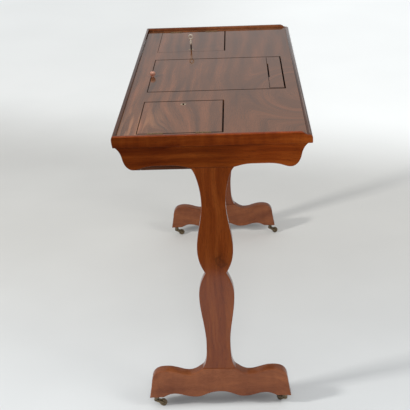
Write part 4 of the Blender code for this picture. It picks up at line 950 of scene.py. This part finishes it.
def add_long_edges():
    """Back gallery rail and front edge moulding, which meet the end lips square."""
    low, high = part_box("back_gallery_rail")
    rail = board(gallery_outline(low, high), low.x, high.x, LEAF_EASE)
    add_piece("back_gallery_rail", "wood", [rail], LONG_EDGE, "table")
    low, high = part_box("front_edge_moulding")
    section = outline_of((high.y, high.z), nosing_round(low.y, high.z, low.z), (high.y, low.z))
    nosing = board(section, low.x, high.x, LEAF_EASE)
    add_piece("front_edge_moulding", "wood", [nosing], LONG_EDGE, "table")


def bearer_outline(low, high):
    """Bearer seen from the end: cyma ends, a bulge, a long arch and the standard's shoulder."""
    half = (high.y - low.y) / 2
    arch = high.z - BEARER_ARCH_DROP
    tip = (half, high.z)
    turn = (half - BEARER_TURN_INSET, high.z - (high.z - low.z) * BEARER_TURN_SHARE)
    belly = (half - BEARER_BELLY_INSET, low.z)
    arch_start = (half - BEARER_ARCH_INSET, arch)
    arch_end = (SHOULDER_HALF + SHOULDER_SWEEP, arch)
    shoulder = (SHOULDER_HALF, high.z - BEARER_SHOULDER_DROP)
    right = outline_of(
        sweep(tip, (-0.008, -0.0065), (0.0023, 0.012), turn),
        sweep(turn, (-0.0029, -0.015), (0.015, 0.0), belly),
        sweep(belly, (-0.014, 0.0), (0.036, 0.0), arch_start),
        arch_start,
        sweep(arch_end, (-0.020, 0.0), (0.012, 0.003), shoulder),
        shoulder,
    )
    return both_halves(right, (high.y + low.y) / 2)


def standard_outline(base, top, shift):
    """Standard seen from the end: a flat baluster of two bulges that meet in a sharp waist."""
    neck, upper, waist, lower, lower_neck = (
        (half, base + height) for half, height in (NECK, UPPER_BULGE, WAIST, LOWER_BULGE, LOWER_NECK)
    )
    crown = (SHOULDER_HALF, top - JOINT_GAP)
    bottom = (STANDARD_BASE_HALF, base + JOINT_GAP)
    above = (neck[1] - upper[1]) / 3
    below = (lower[1] - lower_neck[1]) / 3
    right = outline_of(
        sweep(crown, (-0.011, -0.0115), (0.0, 0.040), neck),
        sweep(neck, (0.0, -above), (0.0, above), upper),
        sweep(upper, (0.0, -0.029), (0.0102, 0.016), waist),
        sweep(waist, (0.0072, -0.0145), (0.0, 0.027), lower),
        sweep(lower, (0.0, -below), (0.0, below), lower_neck),
        sweep(lower_neck, (0.0, -0.036), (-0.011, 0.012), bottom),
        bottom,
    )
    return both_halves(right, shift)


def foot_outline(low, high):
    """Sled foot seen from the end: a seat, a dip and a hump above, three arches below."""
    ground = low.z
    half = (high.y - low.y) / 2
    seat = (STANDARD_BASE_HALF, high.z)
    dip = (STANDARD_BASE_HALF + FOOT_DIP_REACH, ground + FOOT_DIP_HEIGHT)
    hump = (half - FOOT_HUMP_INSET, ground + FOOT_HUMP_HEIGHT)
    side = (half - FOOT_SIDE_INSET, ground + FOOT_SIDE_HEIGHT)
    toe = (half, ground)
    pad = (half - FOOT_PAD_LENGTH, ground)
    arch = (half - FOOT_ARCH_INSET, ground + FOOT_ARCH_HEIGHT)
    lobe = (FOOT_LOBE, ground)
    middle = (0.0, ground + FOOT_MIDDLE_ARCH_HEIGHT)
    right = outline_of(
        sweep(seat, (0.011, -0.007), (-0.016, 0.0), dip),
        sweep(dip, (0.020, 0.0), (-0.025, 0.0), hump),
        sweep(hump, (0.021, 0.0), (-0.0035, 0.020), side),
        sweep(side, (0.0025, -0.017), (-0.004, 0.018), toe),
        toe,
        sweep(pad, (-0.010, 0.0), (0.017, 0.0), arch),
        sweep(arch, (-0.021, 0.0), (0.026, 0.0), lobe),
        sweep(lobe, (-0.022, 0.0), (0.032, 0.0), middle),
        middle,
    )
    return both_halves(right, (high.y + low.y) / 2)


def add_trestles():
    """Bearer, foot and standard of each trestle. Edges are nearly sharp where the standard meets its foot."""
    for side in SIDES:
        low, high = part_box(f"{side}_bearer")
        bearer = board(bearer_outline(low, high), low.x, high.x, BEARER_EASE)
        add_piece(f"{side}_bearer", "wood", [bearer], BEARER_WOOD, "table")
        shoulder = high.z - BEARER_SHOULDER_DROP
        low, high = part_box(f"{side}_foot")
        seat = high.z
        outline = foot_outline(low, high)
        ease = np.where(outline[:, 1] > seat - SEAT_TOLERANCE, SEAT_EASE, FOOT_EASE)
        foot = board(outline, low.x, high.x, ease)
        add_piece(f"{side}_foot", "wood", [foot], FOOT_WOOD, "table")
        low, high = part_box(f"{side}_standard")
        outline = standard_outline(seat, shoulder, (high.y + low.y) / 2)
        ease = np.where(outline[:, 1] < seat + SEAT_TOLERANCE, SEAT_EASE, STANDARD_EASE)
        standard = board(outline, low.x, high.x, ease)
        add_piece(f"{side}_standard", "wood", [standard], STANDARD_WOOD, "table")


def socket_profile(rim, low, high):
    """Castor socket in section: a plate with a rolled rim, a barrel with two beads, and the stem's bore."""
    plate = high - PLATE_THICKNESS
    bore = STEM_RADIUS + BORE_GAP
    barrel = BARREL_RADIUS
    return [
        (0.0006, high), (rim - 0.0006, high), (rim, high - 0.0005), (rim, plate + 0.0004),
        (rim - 0.0005, plate), (barrel + 0.0016, plate - 0.0002), (barrel + 0.0004, plate - 0.0011),
        (barrel - 0.0004, plate - 0.0014), (barrel + 0.0003, plate - 0.0020),
        (barrel - 0.0004, plate - 0.0026), (barrel - 0.0006, low + 0.0020), (barrel + 0.0002, low + 0.0013),
        (barrel + 0.0002, low + 0.0006), (barrel - 0.0005, low), (bore, low), (bore, low + STEM_BORE),
        (0.0006, low + STEM_BORE),
    ]


def wheel_profile():
    """Wheel in section: a bore, a hub boss, a dished web and a crowned tread, the same on both faces."""
    half = WHEEL_HALF_WIDTH
    bore = AXLE_RADIUS + BORE_GAP
    tread = WHEEL_RADIUS
    face = np.array([
        (bore, half), (bore + 0.0012, half), (bore + 0.0016, half - 0.0004), (bore + 0.0020, half - 0.0012),
        (tread - 0.0024, half - 0.0012), (tread - 0.0020, half - 0.0005), (tread - 0.0010, half - 0.0003),
        (tread - 0.0004, half - 0.0008), (tread - 0.0001, half - 0.0018), (tread, half - 0.0030),
    ])
    return np.vstack((face, face[::-1] * (1, -1)))


def disc_profile(fork_top, stem_top):
    """Fork's disc and stem in section: a thin stem on a disc as broad as the barrel."""
    low = fork_top - CHEEK_ROOT_DEPTH
    return [
        (0.0005, stem_top), (STEM_RADIUS - 0.0004, stem_top), (STEM_RADIUS, stem_top - 0.0004),
        (STEM_RADIUS, fork_top), (BARREL_RADIUS - 0.0005, fork_top), (BARREL_RADIUS, fork_top - 0.0005),
        (BARREL_RADIUS, low + 0.0008), (BARREL_RADIUS - 0.0008, low), (0.0005, low),
    ]


def axle_profile(half):
    """Axle in section: a pin with a riveted head at each end."""
    neck = (AXLE_RADIUS, half - 0.0003)
    head = np.array([(0.0004, half + 0.0007), (0.0011, half + 0.0005), (0.0017, half), neck])
    return np.vstack((head, head[::-1] * (1, -1)))


def cheek_outline(top):
    """One cheek of a fork: a horn that sweeps from under the barrel down to a round eye on the axle."""
    angle = np.radians(np.linspace(*CHEEK_EYE_ARC, CHEEK_EYE_POINTS))
    eye = np.stack((np.cos(angle), np.sin(angle)), 1) * CHEEK_EYE_RADIUS + (WHEEL_TRAIL, WHEEL_RADIUS)
    root, front = (BARREL_RADIUS * share for share in CHEEK_ROOT_ENDS)
    above = (front, top)
    under = (root, top - CHEEK_ROOT_DEPTH)
    return outline_of(
        (root, top),
        sweep(under, (0.006, -0.0004), (-0.0055, 0.0004), eye[0], CHEEK_CURVE_POINTS),
        eye,
        sweep(eye[-1], (-0.003, 0.0010), (0.003, 0.0), above, CHEEK_CURVE_POINTS)[1:],
        above,
    )


def add_castor(corner):
    """Socket, fork and wheel of one castor: all turned about the swivel, and the wheel about its axle."""
    low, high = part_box(f"{corner}_castor_socket")
    spot = Matrix.Translation(((low.x + high.x) / 2, (low.y + high.y) / 2, 0.0))
    socket = placed(turned(socket_profile((high.x - low.x) / 2, low.z, high.z)), spot)
    add_piece(f"{corner}_castor_socket", "bronze", [socket], DARK_BRONZE, "table")
    at_swivel = spot @ Matrix.Rotation(math.radians(CASTOR_TRAILS[corner]), 4, "Z")
    hub = at_swivel @ Matrix.Translation((WHEEL_TRAIL, 0.0, WHEEL_RADIUS))
    on_axle = hub @ Matrix.Rotation(math.radians(90), 4, "X")
    fork_top = low.z - JOINT_GAP
    disc = disc_profile(fork_top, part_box(f"{corner}_castor_fork")[1].z)
    surfaces = [placed(turned(disc, SMALL_TURN_STEPS), at_swivel)]
    # A cheek is drawn in (y, z) and carried along X, so a quarter turn lays it along the trail
    lay_along = Matrix.Rotation(math.radians(-90), 4, "Z")
    inner = WHEEL_HALF_WIDTH + JOINT_GAP
    outer = inner + CHEEK_THICKNESS
    for near, far in ((-outer, -inner), (inner, outer)):
        cheek = board(cheek_outline(fork_top), near, far, METAL_EASE)
        surfaces.append(placed(cheek, at_swivel @ lay_along))
    surfaces.append(placed(turned(axle_profile(outer), SMALL_TURN_STEPS), on_axle))
    add_piece(f"{corner}_castor_fork", "bronze", surfaces, DARK_BRONZE, f"{corner}_fork")
    wheel = placed(turned(wheel_profile(), wrap=True), on_axle)
    add_piece(f"{corner}_castor_wheel", "bronze", [wheel], DARK_BRONZE, f"{corner}_wheel")


def add_knob():
    """Turned lift knob: a domed foot, a thin neck and a flattened ball."""
    low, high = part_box("slope_knob")
    radius = (high.x - low.x) / 2
    angle = np.radians(np.linspace(*KNOB_BALL_ARC, KNOB_BALL_POINTS))
    tall = radius * KNOB_BALL_SQUASH
    ball = np.stack((radius * np.cos(angle), high.z - tall + tall * np.sin(angle)), 1)
    foot = [
        (0.0028, 0.0034), (0.0027, 0.0029), (0.0030, 0.0022), (0.0037, 0.0016),
        (0.0041, 0.0011), (0.0042, 0.0005), (0.0040, 0.0), (0.0004, 0.0),
    ]
    spot = Matrix.Translation(((low.x + high.x) / 2, (low.y + high.y) / 2, 0.0))
    knob = placed(turned(outline_of(ball, np.array(foot) + (0.0, low.z))), spot)
    add_piece("slope_knob", "brass", [knob], KNOB_COPPER, "slope")


def add_key():
    """Key: a turned shank with a collar of beads, an oval bow of round bar, and a bit near the tip."""
    low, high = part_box("key")
    escutcheon_low, escutcheon_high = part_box("right_escutcheon")
    middle = (escutcheon_low + escutcheon_high) / 2
    bow_bottom = high.z - KEY_BOW_HEIGHT
    top = bow_bottom + KEY_BOW_BAR * KEY_SHANK_SHARE
    shank = [
        (0.0004, top), (0.0020, top - 0.0004), (0.0026, top - 0.0020), (0.0023, bow_bottom - 0.0006),
        (0.0030, bow_bottom - 0.0014), (0.0034, bow_bottom - 0.0024), (0.0030, bow_bottom - 0.0034),
        (0.0025, bow_bottom - 0.0042), (0.0032, bow_bottom - 0.0052), (0.0031, bow_bottom - 0.0130),
        (0.0021, bow_bottom - 0.0160), (0.0021, low.z + 0.0004), (0.0017, low.z), (0.0004, low.z),
    ]
    spot = Matrix.Translation((middle.x, middle.y, 0.0))
    reach = ((high.y - low.y - KEY_BOW_BAR) / 2, (KEY_BOW_HEIGHT - KEY_BOW_BAR) / 2)
    bow = oval_bar(reach, KEY_BOW_BAR / 2, (middle.x, middle.y, high.z - KEY_BOW_HEIGHT / 2))
    bit = np.array([
        (-0.0042, 0.0), (-0.0016, 0.0), (-0.0016, 0.0050), (-0.0042, 0.0050),
        (-0.0042, 0.0034), (-0.0030, 0.0034), (-0.0030, 0.0024), (-0.0042, 0.0024),
    ])
    plate = board(bit + (middle.y, low.z), middle.x - KEY_BIT_HALF, middle.x + KEY_BIT_HALF, KEY_BIT_EASE)
    surfaces = [placed(turned(shank, SMALL_TURN_STEPS), spot), bow, plate]
    add_piece("key", "brass", surfaces, KEY_BRASS, "key")


def add_escutcheon(side):
    """Domed ring round a keyhole. On the way from the keyhole's outline to the rim its height follows a low
    arch, and the underside is flat. The keyhole is a circle with a straight slot through it along the
    table."""
    low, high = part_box(f"{side}_escutcheon")
    middle = (low + high) / 2
    rim = (high.x - low.x) / 2 + ESCUTCHEON_SPREAD
    angle = np.linspace(0.0, 2 * np.pi, KEYHOLE_STEPS, endpoint=False)
    slot_end, slot_side = KEYHOLE_SLOT
    to_end = slot_end / np.maximum(np.abs(np.cos(angle)), LEAST_SINE)
    to_side = slot_side / np.maximum(np.abs(np.sin(angle)), LEAST_SINE)
    hole = np.maximum(KEYHOLE_RADIUS, np.minimum(to_side, to_end))
    share, rise = np.array(ESCUTCHEON_SECTION).T[..., None]
    reach = hole + (rim - hole) * share
    points = np.empty((*reach.shape, 3))
    points[..., 0] = middle.x + reach * np.cos(angle)
    points[..., 1] = middle.y + reach * np.sin(angle)
    points[..., 2] = high.z + rise
    ring = ringed(points, wrap=True)
    add_piece(f"{side}_escutcheon", "brass", [ring], OLD_BRASS, f"{side}_lid")


def add_boards():
    """Flat boards of the top, the carcass and the slope, with their edges eased."""
    add_eased("top_board", TOP_VENEER, "table")
    for side in SIDES:
        add_eased(f"{side}_lid", TOP_VENEER, f"{side}_lid")
    add_eased("reading_panel", TOP_VENEER, "slope")
    add_eased("book_ledge", TOP_VENEER, "ledge")
    for node in ("back_rail", "front_rail", "slope_bottom"):
        add_eased(node, LONG_INNER, "table")
    for side in SIDES:
        add_eased(f"{side}_partition", CROSS_INNER, "table")
        add_eased(f"{side}_well_end", CROSS_INNER, "table")
        add_eased(f"{side}_well_front", LONG_INNER, "table")
        add_eased(f"{side}_well_bottom", LONG_INNER, "table")
    add_eased("ratchet_rack", CROSS_INNER, "table")
    add_eased("prop_cleat", CROSS_INNER, "slope")
    add_eased("prop_strut", CROSS_INNER, "prop")


def add_locks_and_hinges():
    """Lock cases, bolts and escutcheons. Pins, the rod and hinge leaves keep their solids, in old metal."""
    for side in SIDES:
        add_eased(f"{side}_lock_case", LOCK_IRON, f"{side}_lid", LEAF_EASE)
        add_eased(f"{side}_bolt", OLD_BRASS, f"{side}_bolt", LEAF_EASE)
        add_escutcheon(side)
    pins = {node: OLD_BRASS for node in ("left_panel_pin", "right_panel_pin", "prop_rod")}
    leaves = {f"{corner}_{leaf}_leaf": HINGE_BRASS for corner in CORNERS for leaf in ("fixed", "lid")}
    for node, metal in (pins | leaves).items():
        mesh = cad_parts[node].data
        mesh.materials.clear()
        mesh.materials.append(metal)


def add_contact_shades(finish, paper, x, y):
    """Paper darkened by the feet: full on a slanted line past each foot's right face, and thinning out on
    both sides of the line and towards the foot's ends."""
    slanted = finish.sum(x, finish.times(y, SHADE_SLANT))
    for foot, beyond, depth in CONTACT_SHADES:
        low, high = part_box(foot)
        beside = finish.away_from(slanted, high.x + beyond)
        along = finish.away_from(y, (low.y + high.y) / 2)
        shade = finish.times(finish.fall(beside, 0.0, SHADE_REACH), finish.fall(along, *SHADE_ENDS))
        paper = finish.mix(finish.times(shade, depth), paper, SHADE_COLOUR)
    return paper


def floor_finish():
    """Pale paper, cool by the camera and warmer beyond, a little mottled, with a contact shade by each foot.
    For the camera, in gloss and through glass it glows towards the back, as a curved backdrop does."""
    finish = Finish("paper_floor")
    x, y = finish.axes()[:2]
    paper = finish.mix(finish.spread(x, *PAPER_TURN), NEAR_PAPER, FAR_PAPER)
    mottle = finish.noise(finish.place, PAPER_MOTTLE_SCALE, detail=3.0)
    paper = finish.mix(1.0, paper, finish.spread(mottle, 0.3, 0.7, PAPER_MOTTLE, 1.0), "MULTIPLY")
    paper = add_contact_shades(finish, paper, x, y)
    back = finish.spread(finish.sum(x, finish.times(y, BACK_GLOW_SLANT)), *BACK_GLOW_START)
    middle = finish.times(finish.spread(x, *MIDDLE_GLOW_START), MIDDLE_GLOW)
    glow = finish.sum(finish.times(back, finish.spread(y, *BACK_GLOW_SIDES)), middle)
    glow = finish.sum(glow, finish.spread(x, *FAR_GLOW))
    rays = finish.node("ShaderNodeLightPath").outputs
    seen = finish.larger(rays["Is Camera Ray"], rays["Is Glossy Ray"])
    seen = finish.larger(seen, rays["Is Transmission Ray"])
    finish.set(Base_Color=paper, Roughness=0.9, Specular_IOR_Level=0.1)
    finish.set(Emission_Color=FLOOR_GLOW_COLOUR, Emission_Strength=finish.times(glow, seen))
    return finish.material


def add_floor():
    """One flat sheet of paper under the table, which reaches far behind it."""
    mesh = bpy.data.meshes.new("floor")
    corners = [(x, y, 0.0) for x in (FLOOR_FRONT, FLOOR_BACK) for y in (-FLOOR_SIDE, FLOOR_SIDE)]
    mesh.from_pydata(corners, [], [(0, 2, 3, 1)])
    mesh.materials.append(floor_finish())
    add_object("floor", mesh)


def add_world():
    """Plain grey light all round, which the camera sees as white. Gloss shows a pale backdrop behind the
    table, and a dim room with a bright ceiling in front."""
    world = bpy.data.worlds.new("studio")
    bpy.context.scene.world = world
    world.use_nodes = True
    world.node_tree.nodes.clear()
    studio = NodeTree(world.node_tree)
    direction = studio.node("ShaderNodeTexCoord").outputs["Generated"]
    axes = studio.node("ShaderNodeSeparateXYZ", {"Vector": direction}).outputs
    backdrop = studio.spread(axes["Z"], *BACKDROP, smooth=False)
    behind = studio.larger(backdrop, studio.spread(axes["Z"], *HORIZON))
    room = studio.spread(axes["Z"], *CEILING)
    mirrored = studio.spread(axes["X"], *ROOM_TO_BACKDROP, room, behind)
    rays = studio.node("ShaderNodeLightPath").outputs
    level = studio.between(rays["Is Glossy Ray"], FILL_LEVEL, mirrored)
    direct = studio.larger(rays["Is Camera Ray"], rays["Is Transmission Ray"])
    level = studio.between(direct, level, 1.0)
    background = studio.node("ShaderNodeBackground", {"Color": STUDIO_COLOUR, "Strength": level})
    studio.node("ShaderNodeOutputWorld", {"Surface": background.outputs[0]})


def add_lamp(name, place, power, size):
    """Square soft light that faces the middle of the table. Gloss shows the studio instead of the lamps."""
    lamp = bpy.data.lights.new(name, "AREA")
    lamp.energy = power
    lamp.size = size
    lamp.color = LAMP_COLOUR
    light = add_object(name, lamp)
    light.location = place
    light.visible_glossy = False
    light.rotation_euler = (LAMP_AIM - Vector(place)).to_track_quat("-Z", "Y").to_euler()


def add_camera():
    """Camera at the photograph's angle: turned by yaw, tipped down by pitch and rolled about its view."""
    ahead = Vector((
        math.cos(CAMERA_YAW) * math.cos(CAMERA_PITCH),
        -math.sin(CAMERA_YAW) * math.cos(CAMERA_PITCH),
        -math.sin(CAMERA_PITCH),
    ))
    level = Vector((-math.sin(CAMERA_YAW), -math.cos(CAMERA_YAW), 0.0))
    upright = level.cross(ahead)
    right = math.cos(CAMERA_ROLL) * level + math.sin(CAMERA_ROLL) * upright
    up = -math.sin(CAMERA_ROLL) * level + math.cos(CAMERA_ROLL) * upright
    lens = bpy.data.cameras.new("camera")
    lens.lens = CAMERA_LENS
    camera = add_object("camera", lens)
    turn = Matrix((right, up, -ahead)).transposed().to_4x4()
    camera.matrix_world = Matrix.Translation(CAMERA_PLACE) @ turn
    bpy.context.scene.camera = camera


add_camera()
add_world()
for lamp in LAMPS:
    add_lamp(*lamp)
add_floor()
add_boards()
add_end_lips()
add_long_edges()
add_trestles()
for corner in CORNERS:
    add_castor(corner)
add_knob()
add_key()
add_locks_and_hinges()
bpy.context.scene.view_settings.view_transform = "Standard"
